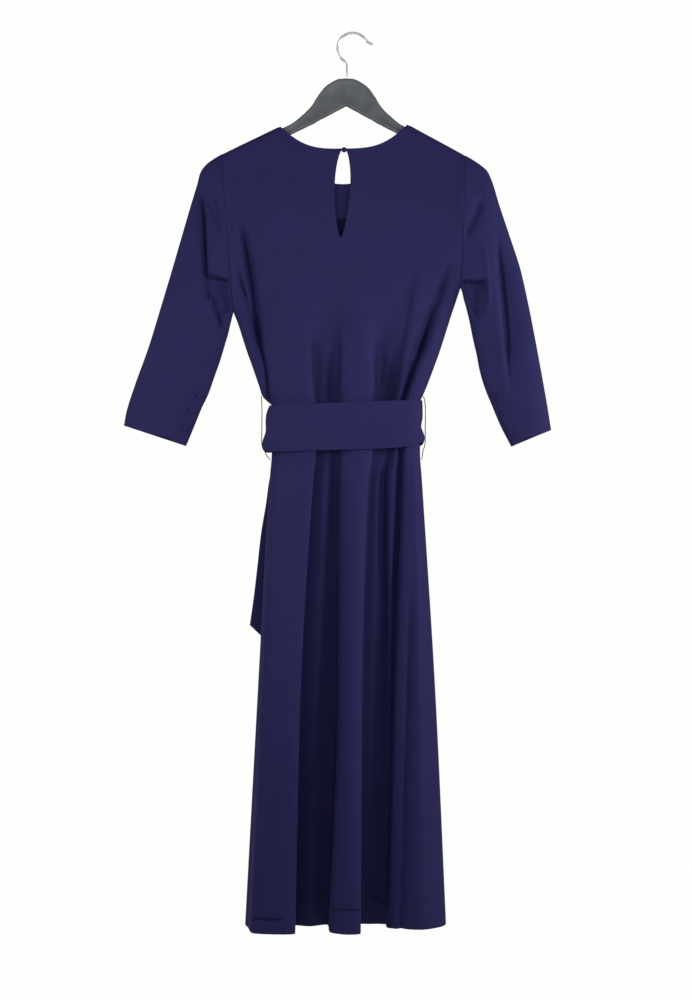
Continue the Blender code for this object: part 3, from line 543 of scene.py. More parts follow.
Fold = namedtuple("Fold", "name chest ribs waist hip knee hem")
BACK_FOLDS = (  # (x, y) of each ridge, trough and flank at the levels
    Fold("left side",    (-171, -20), (-162, -11), (-115, -8), (-118, -12), (-137, -18), (-155, -18)),
    Fold("left turn",    (-154, -19), (-142, -11), (-109, -14), (-112, -22), (-129, -40), (-146, -56)),
    Fold("left crest",   (-100, -20), (-99, -23), (-88, -21), (-84, -30), (-100, -49), (-114, -64)),
    Fold("left edge",    (-61, -20), (-60, -23), (-50, -26), (-54, -31), (-74, -47), (-82, -61)),
    Fold("line one",     (-47, -20), (-50, -20), (-49, -4), (-55, -3), (-77, 0), (-85, 0)),
    Fold("floor one",    (-33, -20), (-35, -18), (-34, -7), (-36, -9), (-49, -8), (-59, -8)),
    Fold("crease one",   (-18, -20), (-15, -17), (-14, -2), (-15, 2), (-17, 4), (-32, 4)),
    Fold("centre",       (-3, -20), (-3, -22), (-8, -18), (-9, -19), (-11, -33), (-25, -52)),
    Fold("mid crest",    (17, -20), (17, -24), (16, -27), (16, -33), (7, -51), (-1, -66)),
    Fold("mid edge",     (35, -20), (33, -23), (38, -25), (32, -29), (21.5, -46), (19.5, -62)),
    Fold("line two",     (50, -20), (47, -21), (43, -5), (36, -1), (23, 5), (18, 8)),
    Fold("floor two",    (67, -20), (62, -20), (54, -4), (47, -3), (40, 4), (36, 8)),
    Fold("small foot",   (80, -20), (77, -21), (66, -3), (57, 1), (53, 7), (49, 9)),
    Fold("small ridge",  (100, -20), (92, -21), (77, -13), (71, -16), (67, -1), (56, 8)),
    Fold("right crease", (148, -20), (129, -12), (86, -4), (85, -3), (73, 3), (61, 6)),
    Fold("right edge",   (158, -20), (137, -18), (92, -18), (91, -21), (78.5, -24), (65, -20)),
    Fold("right crest",  (167, -20), (148, -14), (105, -15), (107, -24), (113, -32), (118, -32)),
    Fold("right side",   (174, -20), (157, -9), (111, -8), (114, -11), (134, -14), (149, -10)),
)
FRONT_FOLDS = (
    Fold("left side",    (-173, 20), (-165, 11), (-115, 8), (-116, 13), (-135, 24), (-152, 34)),
    Fold("left crest",   (-145, 20), (-142, 22), (-100, 18), (-97, 30), (-116, 50), (-131, 68)),
    Fold("left edge",    (-97, 20), (-91, 23), (-76, 22), (-75, 27), (-88, 42), (-101, 56)),
    Fold("floor one",    (-72, 20), (-70, 22), (-65, 13), (-63, 10), (-71, 14), (-81, 20)),
    Fold("rise one",     (-49, 20), (-48, 22), (-48, 12), (-46, 9), (-49, 12), (-54, 18)),
    Fold("mid foot",     (-32, 20), (-32, 23), (-35, 23), (-33, 26), (-37, 40), (-42, 54)),
    Fold("mid crest",    (-10, 20), (-11, 24), (-14, 27), (-13, 35), (-14, 54), (-16, 72)),
    Fold("mid edge",     (13, 20), (10, 24), (5, 25), (8, 27), (8, 42), (8, 56)),
    Fold("floor two",    (32, 20), (27, 22), (17, 13), (21, 10), (24, 14), (25, 20)),
    Fold("rise two",     (54, 20), (48, 22), (36, 12), (40, 9), (46, 12), (51, 18)),
    Fold("right foot",   (80, 20), (70, 23), (49, 22), (53, 25), (62, 38), (69, 50)),
    Fold("right crest",  (113, 20), (100, 23), (75, 22), (77, 33), (90, 50), (100, 68)),
    Fold("right edge",   (145, 20), (132, 21), (94, 17), (96, 25), (112, 38), (127, 50)),
    Fold("right side",   (170, 20), (154, 11), (111, 8), (113, 13), (132, 22), (148, 30)),
)
NECK_COLUMNS = {-1: (-100.0, 89.0), 1: (-97.0, 80.0)}  # where the neck's corners fall at the chest
SPAN_STEP = 2.45            # widest spacing of the cloth's columns
HEM_SHARE, LEAST_COLUMNS = 0.8, 4
SKIRT_CRISP = 0.3           # how sharply the skirt's folds turn
YOKE_SHARES = (0.0, 0.004, 0.012, 0.024, 0.04, 0.06, 0.085, 0.112, *(k / 100 for k in range(14, 81, 3)),
               0.825, 0.85, 0.867, 0.88, 0.895, 0.915, 0.94, 0.97, 1.0)
ROW_STEPS = ((CHEST, -556.0, 5.0), (-556.0, -596.0, 2.5), (-596.0, BELT_BOTTOM, 9.0),
             (BELT_BOTTOM, -1364.0, 11.0), (-1364.0, -1392.0, 2.0),
             (-1392.0, HEM, 4.0))          # from, to and the step between rows of cloth

BACK_CREASES = (
    # the bodice
    (-15, 5, 9, ((-170, -275), (-163, -325), (-155, -373), (-147, -420), (-140, -483), (-132, -520)),
     (0.3, 0.3)),
    (-9, 2.5, 5, ((-144, -446), (-138, -483), (-128, -531), (-121, -590)), (0.3, 0)),
    (-5, 2.5, 4, ((-176, -366), (-163, -406), (-148, -456), (-140, -500))),
    (-4, 2.5, 4, ((-187, -344), (-172, -385), (-156, -424))),
    (-14, 7.5, 7, ((166, -350), (143, -420), (124, -483), (111, -524)), (0.25, 0.3)),
    (-8, 4, 2.2, ((132, -450), (124, -483), (108, -531), (96, -566), (89, -595)), (0.3, 0)),
    (-10, 20, 5.5, ((106, -366), (99, -422), (88, -485), (80, -532), (74, -564), (71, -592)), (0.2, 0)),
    (-7, 30, 11, ((72, -420), (63, -485), (57, -530), (52, -592)), (0.4, 0)),
    (-4.5, 6, 6, ((58, -450), (55, -500), (52, -532), (46, -564), (44, -592)), (0.4, 0)),
    (-5, 24, 18, ((-17, -360), (-19, -422), (-26, -485), (-29, -532), (-28, -565), (-26, -592)),
     (0.4, 0)),
    # the skirt
    (-7, 3, 7, ((101, -820), (94, -1080), (84, -1408)), (0.3, 0)),
    (-2.2, 2.5, 2.5, ((85, -1306), (85, -1336))),
    # where the hem's turning ends
    (-5, 5, 2, ((-146, -1386), (-120, -1387), (-96, -1385)), (0.1, 0.2)),
    (-4, 2, 2.5, ((-26, -1374.5), (-3, -1373), (20, -1372.5)), (0.08, 0.08)),
    (-5, 3, 3, ((38, -1364), (52, -1370), (63, -1378)), (0.2, 0.1)),
)
FRONT_CREASES = (
    (-5, 9, 4, ((-160, -330), (-140, -400), (-124, -480), (-114, -578)), (0.25, 0)),
    (-4, 4, 8, ((158, -340), (140, -410), (122, -490), (104, -578)), (0.25, 0)),
    (-3.5, 14, 12, ((8, -360), (2, -430), (-6, -500), (-10, -578)), (0.4, 0)),
    (-5, 6, 4, ((-70, -430), (-66, -500), (-64, -578)), (0.4, 0)),
    (-4, 4, 6, ((40, -450), (36, -520), (28, -578)), (0.4, 0)),
    (-4, 5, 6, ((96, -420), (84, -500), (72, -578)), (0.4, 0)),
    (-5, 3, 8, ((-68, -662), (-72, -900), (-82, -1150), (-94, -1408)), (0, 0)),
    (-5, 8, 3, ((-44, -662), (-47, -880), (-52, -1140), (-58, -1408)), (0, 0)),
    (-5, 3, 8, ((14, -662), (20, -900), (24, -1150), (26, -1408)), (0, 0)),
    (-5, 8, 3, ((42, -662), (48, -880), (54, -1140), (60, -1408)), (0, 0)),
    (-3, 5, 5, ((92, -662), (104, -860), (118, -1100)), (0, 0.4)),
    (-3, 5, 5, ((-98, -662), (-106, -800), (-116, -960)), (0, 0.4)),
    (-1.4, 2, 2, ((-120, -1374), (-100, -1372), (-86, -1373)), (0.15, 0.15)),
    (-1.4, 2, 2, ((-36, -1373), (-12, -1371), (10, -1373)), (0.15, 0.15)),
    (-1.4, 2, 2, ((72, -1374), (96, -1372), (124, -1375)), (0.15, 0.15)),
)
HEM_TURNING, HEM_STEP = 36.0, 0.5
BODY_WAVES = 1.1
FREE_COLUMNS, FIRST_FREE_ROW, FREE_ROWS = 7.0, 3, 16.0   # where creases grow from the edges
EDGE_GAP, RIBS_GAP, NECK_CORNER_GAP = 0.03, 0.25, 0.5    # added to the room between seams
SEAM_LAP = (1.4, 1.1)       # how far the back's edges lie in under the front's, and past them
LAP_BELOW, LAP_GROWS = 6.0, 24.0


def shoulder_line(x):
    """Height of the shoulder seams, carried across the neck."""
    stations = (SIDES["left"].tip, NECK_LEFT, NECK_RIGHT, SIDES["right"].tip)
    return np.interp(x, [s[0] for s in stations], [s[1] for s in stations])


def neckline(x, face):
    """Height of the neckline: a shallow curve at the back, a scoop in front."""
    share = np.minimum(np.abs((x - NECK_MIDDLE) / NECK_HALF), 1.0)
    return shoulder_line(x) - NECK_DROP[face] * (1 - share ** NECK_POWER[face])


def drape(drop):
    """How far the cloth stands from the hanger's plane, drop below the shoulder line."""
    turn = ROUND_DEPTH * np.sqrt(np.clip(1.0 - (1.0 - np.maximum(drop, 0.0) / ROUND_DROP) ** 2, 0, 1))
    hang = mix(ROUND_DEPTH, CHEST_DEPTH, ease((drop - ROUND_DROP) / (CHEST_DROP - ROUND_DROP)))
    return np.where(drop < ROUND_DROP, turn, hang)


def edge(side, z):
    """A panel's edge at heights: x, how far it stands from the seam's plane, that plane's y."""
    s = SIDES[side]
    share = (s.tip[1] - z) / (s.tip[1] - s.underarm[1])
    bow = np.clip(1 - np.abs(2 * share - 1) ** ARMHOLE_POWER, 0, 1) ** (1 / ARMHOLE_POWER)
    rows = [(s.underarm[1], s.underarm[0], 0), *((*row, 0) for row in s.seam)]
    rows += [(at, *value) for at, value in zip(LEVELS[4:], (s.waist, s.hip, s.knee, s.hem))]
    stations, xs, planes = zip(*rows)
    above = z > s.underarm[1]
    x = np.where(above, mix(s.tip[0], s.underarm[0], share), steady(stations, xs, z))
    plane = np.where(above, 0.0, steady(stations, planes, z))
    return x, np.where(above, ARMHOLE_DEPTH * bow, 0.0), plane


def off_plane(end, inner, face, plane, wall, turn_axis, extra=EDGE_GAP):
    """Move an edge point off its seam's plane, so that the slanting walls stay apart."""
    run = inner - end
    slant = abs(run[turn_axis]) / max(np.linalg.norm(run), 1e-6)
    end[1] = plane + face * max(abs(end[1] - plane), SEAM / 2 + wall / 2 * slant + extra)


def fold_point(fold, z):
    blouse = (fold.waist[0] * BLOUSE_SPREAD, fold.waist[1] * BLOUSE_FULLNESS)
    values = (fold.chest, fold.ribs, blouse, fold.waist, *fold[3:])
    return [steady(LEVELS, axis, z) for axis in zip(*values)]


def column_steps(folds):
    """How many columns each span between two folds gets, from its widest level."""
    chest, hem = ([(edge("left", z)[0], 0), *(getattr(fold, level) for fold in folds),
                   (edge("right", z)[0], 0)] for z, level in ((CHEST, "chest"), (HEM, "hem")))
    widest = (max(abs(b[0] - a[0]), math.dist(c, d) * HEM_SHARE)
              for a, b, c, d in zip(chest, chest[1:], hem, hem[1:]))
    return [max(LEAST_COLUMNS, round(wide / SPAN_STEP)) for wide in widest]


def section(folds, other, face, z, steps):
    """Points across a panel at a height at or below the chest, and its two seam planes."""
    (xl, standl, planel), (xr, standr, planer) = edge("left", z), edge("right", z)
    ends = [np.array((xl, planel + face * standl)), np.array((xr, planer + face * standr))]
    inner = [np.array(fold_point(fold, z)) for fold in folds]
    before = fold_point(other[0], z) if standl < 3.0 else ends[0] * 2 - inner[0]
    after = fold_point(other[-1], z) if standr < 3.0 else ends[1] * 2 - inner[-1]
    crisp = SKIRT_CRISP * float(ease((BELT_TOP - z) / (BELT_TOP - HIP)))
    line = between([before, ends[0], *inner, ends[1], after], steps, crisp)
    row = np.stack([line[:, 0], line[:, 1], np.full(len(line), z)], axis=-1)
    return row, (float(planel), float(planer))


def body_rows():
    rows = []
    for start, end, step in ROW_STEPS:
        count = round((start - end) / step)
        rows.extend(np.linspace(start, end, count + 1)[1:])
    return rows


def keyhole_half(z, top):
    """Half the keyhole's width at heights."""
    low = mix(top, CHEST, KEYHOLE_SHARE)
    share = np.clip((top - z) / (top - low), 0.0, 1.0)
    bow = np.where(share < 1.0, np.abs(np.sin(np.pi * share ** KEYHOLE_LOW)) ** KEYHOLE_FULL, 0.0)
    least = np.where(share < 0.5, KEYHOLE_TOP_GAP / 2, 0.0)
    return np.maximum(KEYHOLE_WIDTH / 2 * bow, least)


def top_edge(face, xs):
    """x and z along a panel's upper edge, and the columns where the neckline starts and ends."""
    start, end = (int(np.argmin(np.abs(xs - x))) for x in NECK_COLUMNS[face])
    end += (end - start) % 2
    c = np.arange(len(xs))
    share = (c - start) / (end - start)
    crowded = (1 - np.cos(np.pi * np.clip(share, 0, 1))) / 2
    x = np.where(c < start, mix(SIDES["left"].tip[0], NECK_LEFT[0], c / start),
                 mix(NECK_LEFT[0], NECK_RIGHT[0], mix(share, crowded, NECK_CROWD)))
    x = np.where(c > end, mix(NECK_RIGHT[0], SIDES["right"].tip[0], (c - end) / (c[-1] - end)), x)
    z = np.where((c > start) & (c < end), neckline(x, face), shoulder_line(x))
    for corner in (NECK_LEFT, NECK_RIGHT):
        z = z - ease(1 - np.abs(x - corner[0]) / NECK_ROUND) * NECK_ROUND_DROP
    return x, z, start, end


def panel(name, folds, other, face, creases, seed, keyhole=False):
    """A dress panel: yoke rows down to the chest, then level rows to the hem."""
    steps = column_steps(folds)
    chest_row, _ = section(folds, other, face, CHEST, steps)
    xs = chest_row[:, 0]
    top_x, top_z, neck_from, neck_to = top_edge(face, xs)
    c = np.arange(len(xs))
    middle = (neck_from + neck_to) // 2
    lean = np.clip(1 - np.abs(c - middle) / (KEYHOLE_REACH * (neck_to - neck_from)), 0, 1)
    rows, right_hand = [], []
    for share in YOKE_SHARES[:-1]:
        x, z = mix(top_x, xs, share), mix(top_z, CHEST, share)
        stand = drape(shoulder_line(x) - z)
        for side, at in (("left", 0), ("right", -1)):
            ex, estand, _ = edge(side, z)
            band = ease(1 - np.abs(x - ex) / ARMHOLE_BAND)
            stand = mix(stand, estand, np.where(np.abs(x - x[at]) < ARMHOLE_BAND, band, 0))
            x[at] = ex[at]
        if keyhole:
            push = keyhole_half(z, top_z[middle]) * mix(lean, ease(lean), 0.5)
            right_hand.append((x[middle] + push[middle], face * stand[middle], z[middle]))
            x = x + np.where(c > middle, push, -push)
        rows.append(np.stack([x, face * stand, z], axis=-1))
    for at in [*range(neck_from + 1), *range(neck_to, len(xs))]:
        extra = NECK_CORNER_GAP if at in (neck_from, neck_to) else EDGE_GAP
        off_plane(rows[0][at], rows[1][at], face, 0.0, CLOTH, 2, extra)
    rows.append(chest_row)
    levels = body_rows()
    level_rows, planes = zip(*(section(folds, other, face, z, steps) for z in levels))
    grid = np.array([*rows, *level_rows])
    x, z = grid[..., 0], grid[..., 2]
    free = (ease(np.minimum(c, c[::-1]) / FREE_COLUMNS)[None, :]
            * ease((np.arange(len(grid)) - FIRST_FREE_ROW) / FREE_ROWS)[:, None])
    relief = creases_at(creases, x, z) + BODY_WAVES * slow_waves(x, z, seed)
    relief += np.where(z < HEM + HEM_TURNING, HEM_STEP, 0.0)
    grid[..., 1] += face * relief * free
    for row, level, both in zip(grid[len(rows):], levels, planes):
        extra = RIBS_GAP if level >= RIBS else EDGE_GAP
        for side, at, inner, plane in (("left", 0, 1, both[0]), ("right", -1, -2, both[1])):
            off_plane(row[at], row[inner], face, plane, CLOTH, 0, extra)
            if face < 0:
                under = ease((SIDES[side].underarm[1] - LAP_BELOW - level) / LAP_GROWS)
                row[at] += under * np.array((SEAM_LAP[0] * (-1) ** at, SEAM_LAP[1], 0))
    slit = None
    if keyhole:
        right = np.array(right_hand)
        right[:, 1] = grid[:len(right), middle, 1]
        slit = (YOKE_SHARES.index(KEYHOLE_SHARE), middle, right)
    return cloth(name, grid, CLOTH, slit=slit), grid


# --- the sleeves
SLEEVES = {     # rings from the armhole to the hem: outer x and z, inner x and z, half depth
    "left": (
        (-198, -191, -179, -440, 20), (-210, -198, -181, -446, 20),
        (-222, -207, -183, -453, 20), (-231, -219, -185.5, -462, 20),
        (-236, -237, -188, -473, 20), (-246, -270, -193, -490, 19),
        (-260, -318, -200.5, -515, 19), (-276, -373, -210, -542, 18),
        (-294, -433, -219.5, -569, 17), (-313, -495, -230, -591, 17),
        (-335, -556, -241, -618, 16), (-348, -597, -250.5, -641, 15),
        (-352, -619, -255, -651, 15),
    ),
    "right": (
        (187, -193, 179, -401, 20), (199, -200, 182, -409, 20),
        (211, -208, 184, -417, 20), (221, -217, 187, -427, 20),
        (229, -234, 190, -438, 20), (240, -270, 194, -455, 19),
        (256, -318, 199, -480, 19), (273, -370, 205, -506, 18),
        (286, -427, 210, -532, 17), (297, -483, 218, -559, 17),
        (307, -537, 229, -586, 16), (316, -588, 243, -619, 15),
        (322, -626, 260, -652, 15),
    ),
}
SLEEVE_SIDES, SLEEVE_STEPS, SLEEVE_POWER = 240, 9, 2.2
SLEEVE_WAVES, DEEPEST_SINK = 0.8, 0.85
ROUNDING_ROWS, FREE_RINGS, FREE_ACROSS = 4, 1.2, 0.35    # how fast its form and creases set in
GAP_RINGS, GAP_FROM = 3, 0.2
SLEEVE_CREASES = {      # by side and face: -1 is the back
    ("left", -1): (
        (-10, 26, 3, ((-233, -232), (-225, -275), (-222, -331), (-220, -378), (-218, -425)), (0.15, 0.1)),
        (-9, 2.6, 1.8, ((-230, -255), (-225, -275), (-222, -331), (-220, -378), (-218, -425)),
         (0.3, 0.1)),
        (-11, 2.5, 10, ((-218, -380), (-215, -402), (-209, -432), (-197, -472)), (0.2, 0.15)),
        (-14, 18, 1.6, ((-217, -386), (-204, -388), (-184, -392)), (0.1, 0)),
        (-18, 13, 7, ((-200, -390), (-193, -420), (-189, -448)), (0.1, 0.4)),
        (-8, 34, 26, ((-226, -400), (-230, -470), (-242, -540), (-262, -610)), (0.3, 0.2)),
        (-4.5, 5, 4, ((-209, -252), (-203, -274), (-193, -300)), (0.3, 0.3)),
        (-4, 4, 5, ((-226, -250), (-208, -290), (-190, -332)), (0.3, 0.3)),
    ),
    ("left", 1): (
        (-7, 9, 9, ((-224, -260), (-220, -340), (-214, -430), (-212, -490))),
        (-4, 5, 7, ((-250, -360), (-256, -440), (-270, -540))),
        (-3, 6, 5, ((-290, -470), (-306, -540), (-322, -600)), (0.3, 0.1)),
    ),
    ("right", -1): (
        (-11, 5, 24, ((234, -290), (240, -373), (245, -420), (249, -467), (253, -515), (259, -600)),
         (0.2, 0.35)),
        (-8, 2.4, 4, ((236, -310), (241, -373), (246, -420), (250, -467), (253, -515), (258, -580)),
         (0.3, 0.4)),
        (-12, 14, 1.8, ((186, -392), (204, -394), (221, -392)), (0, 0.2)),
        (-18, 5, 14, ((189, -396), (197, -420), (207, -456)), (0.1, 0.4)),
        (-7, 6, 6, ((214, -256), (202, -290), (184, -326)), (0.3, 0.2)),
        (3, 3, 4, ((213, -330), (217, -352), (221, -386), (221, -427), (211, -458)), (0.3, 0.3)),
        (-4, 14, 14, ((224, -460), (230, -520), (242, -580)), (0.4, 0.3)),
    ),
    ("right", 1): (
        (-7, 9, 9, ((226, -280), (232, -360), (236, -440), (246, -520))),
        (-4, 6, 5, ((206, -400), (216, -470), (232, -560)), (0.2, 0.3)),
        (-3, 5, 7, ((270, -400), (282, -480), (292, -560)), (0.3, 0.3)),
    ),
}


HEM_RISE = {"left": 3.5, "right": 4.5}   # how much the back of a sleeve's hem rides up
RISE_FROM, RISE_RINGS, RISE_AT, RISE_WIDTH = 10.5, 1.5, -0.35, 0.5


def sleeve(side):
    """A set-in sleeve: rings from the armhole to the hem, angle 0 at the outer fold."""
    out = OUTWARDS[side]
    rings = curve_through(SLEEVES[side], SLEEVE_STEPS)
    row = np.arange(len(rings)) / SLEEVE_STEPS
    angle = 2 * np.pi * np.arange(SLEEVE_SIDES) / SLEEVE_SIDES
    power = mix(ARMHOLE_POWER, SLEEVE_POWER, np.minimum(row / ROUNDING_ROWS, 1.0))[:, None]
    along, across = rounded(angle[None, :], power)
    x = mix(rings[:, 2:3], rings[:, 0:1], (along + 1) / 2)
    z = mix(rings[:, 3:4], rings[:, 1:2], (along + 1) / 2)
    stand = -across * rings[:, 4:5]
    free = ease(row / FREE_RINGS)[:, None] * ease(np.abs(across) / FREE_ACROSS)
    for face in (-1, 1):
        sink = creases_at(SLEEVE_CREASES[side, face], x, z)
        sink = sink + SLEEVE_WAVES * slow_waves(x, z, 7 * out + face, 45, 120)
        sink = np.maximum(sink * free, -DEEPEST_SINK * np.abs(stand))
        stand = np.where(face * stand > 0, stand + face * sink, stand)
    raised = HEM_RISE[side] * ease((row - RISE_FROM) / RISE_RINGS)[:, None] * np.maximum(across, 0) ** 0.7
    z = z + raised * np.exp(-((along - RISE_AT) / RISE_WIDTH) ** 2)
    fade = np.maximum(1.0 - row / GAP_RINGS, 0.0)[:, None]
    gap = mix(ARMHOLE_GAP, UNDERARM_GAP, ease(GAP_FROM - along)) * fade
    return cloth("sleeve_" + side, np.stack([x + out * gap, stand, z], axis=-1), CLOTH, tube=True)


CUFF_BUTTONS = {            # x and z of each
    "left": ((-232.4, -571.6), (-244.9, -596.4), (-255.0, -623.1)),
    "right": ((239.2, -571.6), (248.7, -599.5), (255.8, -629.1)),
}
BUTTON_RADIUS, BUTTON_HEIGHT, BUTTON_DOME = 4.8, 3.6, 0.68
BUTTON_RIM, BUTTON_HOLLOW = 0.5, 0.25
NECK_BUTTON_RADIUS, NECK_BUTTON_DROP, NECK_BUTTON_SHIFT = 4.3, 2.5, 2.6
CUFF_OVERLAP = {"left": (7.0, 7.0, 7.0), "right": (6.5, 3.2, 7.5)}
CUFF_OVERLAP_ABOVE, CUFF_OVERLAP_BELOW = 15.0, 11.0
CUFF_OVERLAP_ROWS, CUFF_OVERLAP_COLUMNS = 30, 8
OVERLAP_CLOTH = 0.6


def covered_button():
    """A domed button covered with crepe, modelled once, its back at the origin."""
    bpy.ops.mesh.primitive_uv_sphere_add(segments=28, ring_count=16, radius=BUTTON_RADIUS * MM)
    made = bpy.context.object
    bpy.ops.object.mode_set(mode="EDIT")
    bpy.ops.mesh.select_all(action="SELECT")
    bpy.ops.transform.resize(value=(1, 1, BUTTON_DOME * BUTTON_HEIGHT / BUTTON_RADIUS))
    low = (BUTTON_DOME - 1) * BUTTON_HEIGHT * MM
    bpy.ops.mesh.bisect(plane_co=(0, 0, low), plane_no=(0, 0, 1), use_fill=True, clear_inner=True)
    bpy.ops.mesh.select_mode(type="FACE")
    faces_where(made, lambda face: face.normal.z < -0.9)
    bpy.ops.mesh.inset(thickness=BUTTON_RIM * MM)
    draw_out(0, BUTTON_HOLLOW)
    bpy.ops.mesh.select_all(action="SELECT")
    bpy.ops.transform.translate(value=(0, 0, -low))
    bpy.ops.object.mode_set(mode="OBJECT")
    bpy.ops.object.transform_apply()
    made.data.uv_layers.active.name = "cloth"
    made.data.shade_smooth()
    return made


def sew_on(button, node_name, seat, out, radius):
    """Copy of the button at seat, its dome towards out."""
    name = node_name + "_covered"
    mesh = button.data.copy()
    mesh.name = name
    turn = Vector((0, 0, 1)).rotation_difference(Vector(out)).to_matrix().to_4x4()
    place = Matrix.Translation((Vector(seat) + Vector((DRESS_MIDDLE, 0, 0))) * MM)
    mesh.transform(place @ turn @ Matrix.Scale(radius / BUTTON_RADIUS, 4))
    return finished(placed(name, mesh), node_name)


def cuff(side, button):
    """The overlap strip of a sleeve's slit and its three buttons."""
    lift = (CLOTH + OVERLAP_CLOTH) / 2 + 0.1
    buttons = [Vector((x, 0, z)) for x, z in CUFF_BUTTONS[side]]
    run = (buttons[-1] - buttons[0]).normalized()
    start, end = buttons[0] - run * CUFF_OVERLAP_ABOVE, buttons[-1] + run * CUFF_OVERLAP_BELOW
    across = Vector((run.z, 0, -run.x)) * -OUTWARDS[side]
    inner_top, inner_end, outer = CUFF_OVERLAP[side]
    grid = []
    for share in np.linspace(0, 1, CUFF_OVERLAP_ROWS + 1):
        inner = mix(inner_top, inner_end, share)
        spots = (start.lerp(end, share) + across * width
                 for width in np.linspace(-inner, outer, CUFF_OVERLAP_COLUMNS + 1))
        landings = (landing("sleeve_" + side, spot.x, spot.z, -1) for spot in spots)
        grid.append([tuple(at + out * lift) for at, out in landings])
    made = cloth("cuff_overlap_" + side, grid, OVERLAP_CLOTH)
    for number, spot in enumerate(buttons, 1):
        at, out = landing("cuff_overlap_" + side, spot.x, spot.z, -1)
        seat = at + out * (OVERLAP_CLOTH / 2 + SEAM)
        sew_on(button, "cuff_button_%s_%d" % (side, number), seat, out, BUTTON_RADIUS)
    return made


# --- facing, neck button, loop
FACING_DEPTH, FACING_INSET, FACING_REACH = 54.0, 0.6, 0.93
FACING_ROWS, FACING_COLUMNS = 12, 90
FACING_FALL = 3.0           # how far its loose edge stands off
ROOM, NECK_LOOP_BEND = 0.2, 0.7


def neck_facing():
    """Band inside the front neckline, level with it at its upper edge."""
    lift = (CAD_CLOTH + OVERLAP_CLOTH) / 2 + SEAM + ROOM
    grid = []
    for down in np.linspace(0, 1, FACING_ROWS + 1):
        row = []
        for share in np.linspace(-FACING_REACH, FACING_REACH, FACING_COLUMNS + 1):
            x = NECK_MIDDLE + NECK_HALF * share
            run = Vector((1.0, 0, neckline(x + 0.5, 1) - neckline(x - 0.5, 1))).normalized()
            spot = Vector((x, 0, neckline(x, 1))) + Vector((run.z, 0, -run.x)) * (
                FACING_INSET + FACING_DEPTH * down)
            at, inward = landing("dress_front", spot.x, spot.z, -1)
            row.append(tuple(at + inward * (lift + FACING_FALL * down ** 3)))
        grid.append(row)
    # its finish is the crepe painted lighter: painted light on the facing inside the keyhole
    return cloth("front_neck_facing", grid, OVERLAP_CLOTH, finish="facing crepe painted lighter")


def neck_fastening(button):
    """Covered button at the keyhole's top, seated on the right-hand edge, and its loop."""
    half = KEYHOLE_TOP_GAP / 2
    z = float(neckline(NECK_MIDDLE, -1)) - NECK_BUTTON_DROP
    x = NECK_MIDDLE + half - NECK_BUTTON_SHIFT
    at, _ = landing("dress_back", NECK_MIDDLE + half + 1.0, z, -1)
    sew_on(button, "neck_button", (x, at.y - CAD_CLOTH / 2 - SEAM - ROOM, z), (0, -1, 0),
           NECK_BUTTON_RADIUS)
    bend = THREAD / 2 + NECK_LOOP_BEND
    start = NECK_MIDDLE - half + THREAD / 2 + SEAM
    end = NECK_MIDDLE + half - bend - THREAD / 2 - SEAM
    y = at.y + THREAD / 2
    turn = [(end + bend * math.cos(angle), y, z + bend * math.sin(angle))
            for angle in np.linspace(math.pi / 2, -math.pi / 2, 17)]
    loop = twisted("neck_loop_thread", [(start, y, z + bend), *turn, (start, y, z - bend)], 12)
    finished(loop, "neck_loop", "thread")


# --- the belt
BeltRow = namedtuple("BeltRow", "z_left z_right x_left x_right half_depth")
BELT_ROWS = (   # the belt's upper edge, then down to its lower edge
    BeltRow(-588, -579, -121.5, 118.0, 31.5),
    BeltRow(-599, -592, -126.0, 118.5, 32.5),
    BeltRow(-612, -606, -127.5, 118.5, 33.0),
    BeltRow(-629, -622, -127.5, 116.5, 33.0),
    BeltRow(-645, -638, -132.5, 121.5, 33.0),
    BeltRow(-655, -648, -131.0, 121.0, 32.8),
    BeltRow(-661, -654, -127.0, 119.5, 32.5),
)
BELT_POWER, BELT_WAVES = 2.6, 0.5
BELT_COLUMNS, BELT_STEPS = 150, 6
BELT_CREASES = {
    -1: (
        (-2.0, 9, 9, ((-92, -622), (-78, -640), (-60, -652)), (0.4, 0.3)),
        (-1.6, 5, 6, ((119, -614), (104, -624), (80, -628)), (0.1, 0.6)),
        (-0.9, 5, 5, ((-118, -606), (-90, -612), (-40, -612)), (0.2, 0.6)),
        (-0.8, 6, 6, ((-20, -632), (20, -630), (70, -636)), (0.4, 0.4)),
    ),
    1: (
        (-1.6, 6, 6, ((-118, -612), (-106, -618), (-94, -621)), (0.2, 0.1)),
        (-1.8, 5, 6, ((-54, -618), (-30, -612), (10, -608)), (0.05, 0.7)),
        (-1.5, 6, 5, ((-54, -632), (-26, -638), (20, -642)), (0.05, 0.7)),
        (-0.9, 7, 7, ((40, -612), (80, -616), (116, -616)), (0.4, 0.2)),
    ),
}
BELT_CURL = 9.0             # how far the lower edge turns up at the right-hand end
CURL_AT, CURL_WIDTH = -0.2, 0.5
BELT_SQUARE, SQUARE_FROM, SQUARE_OVER = 1.6, 1.9, 0.9    # its squarer left-hand end


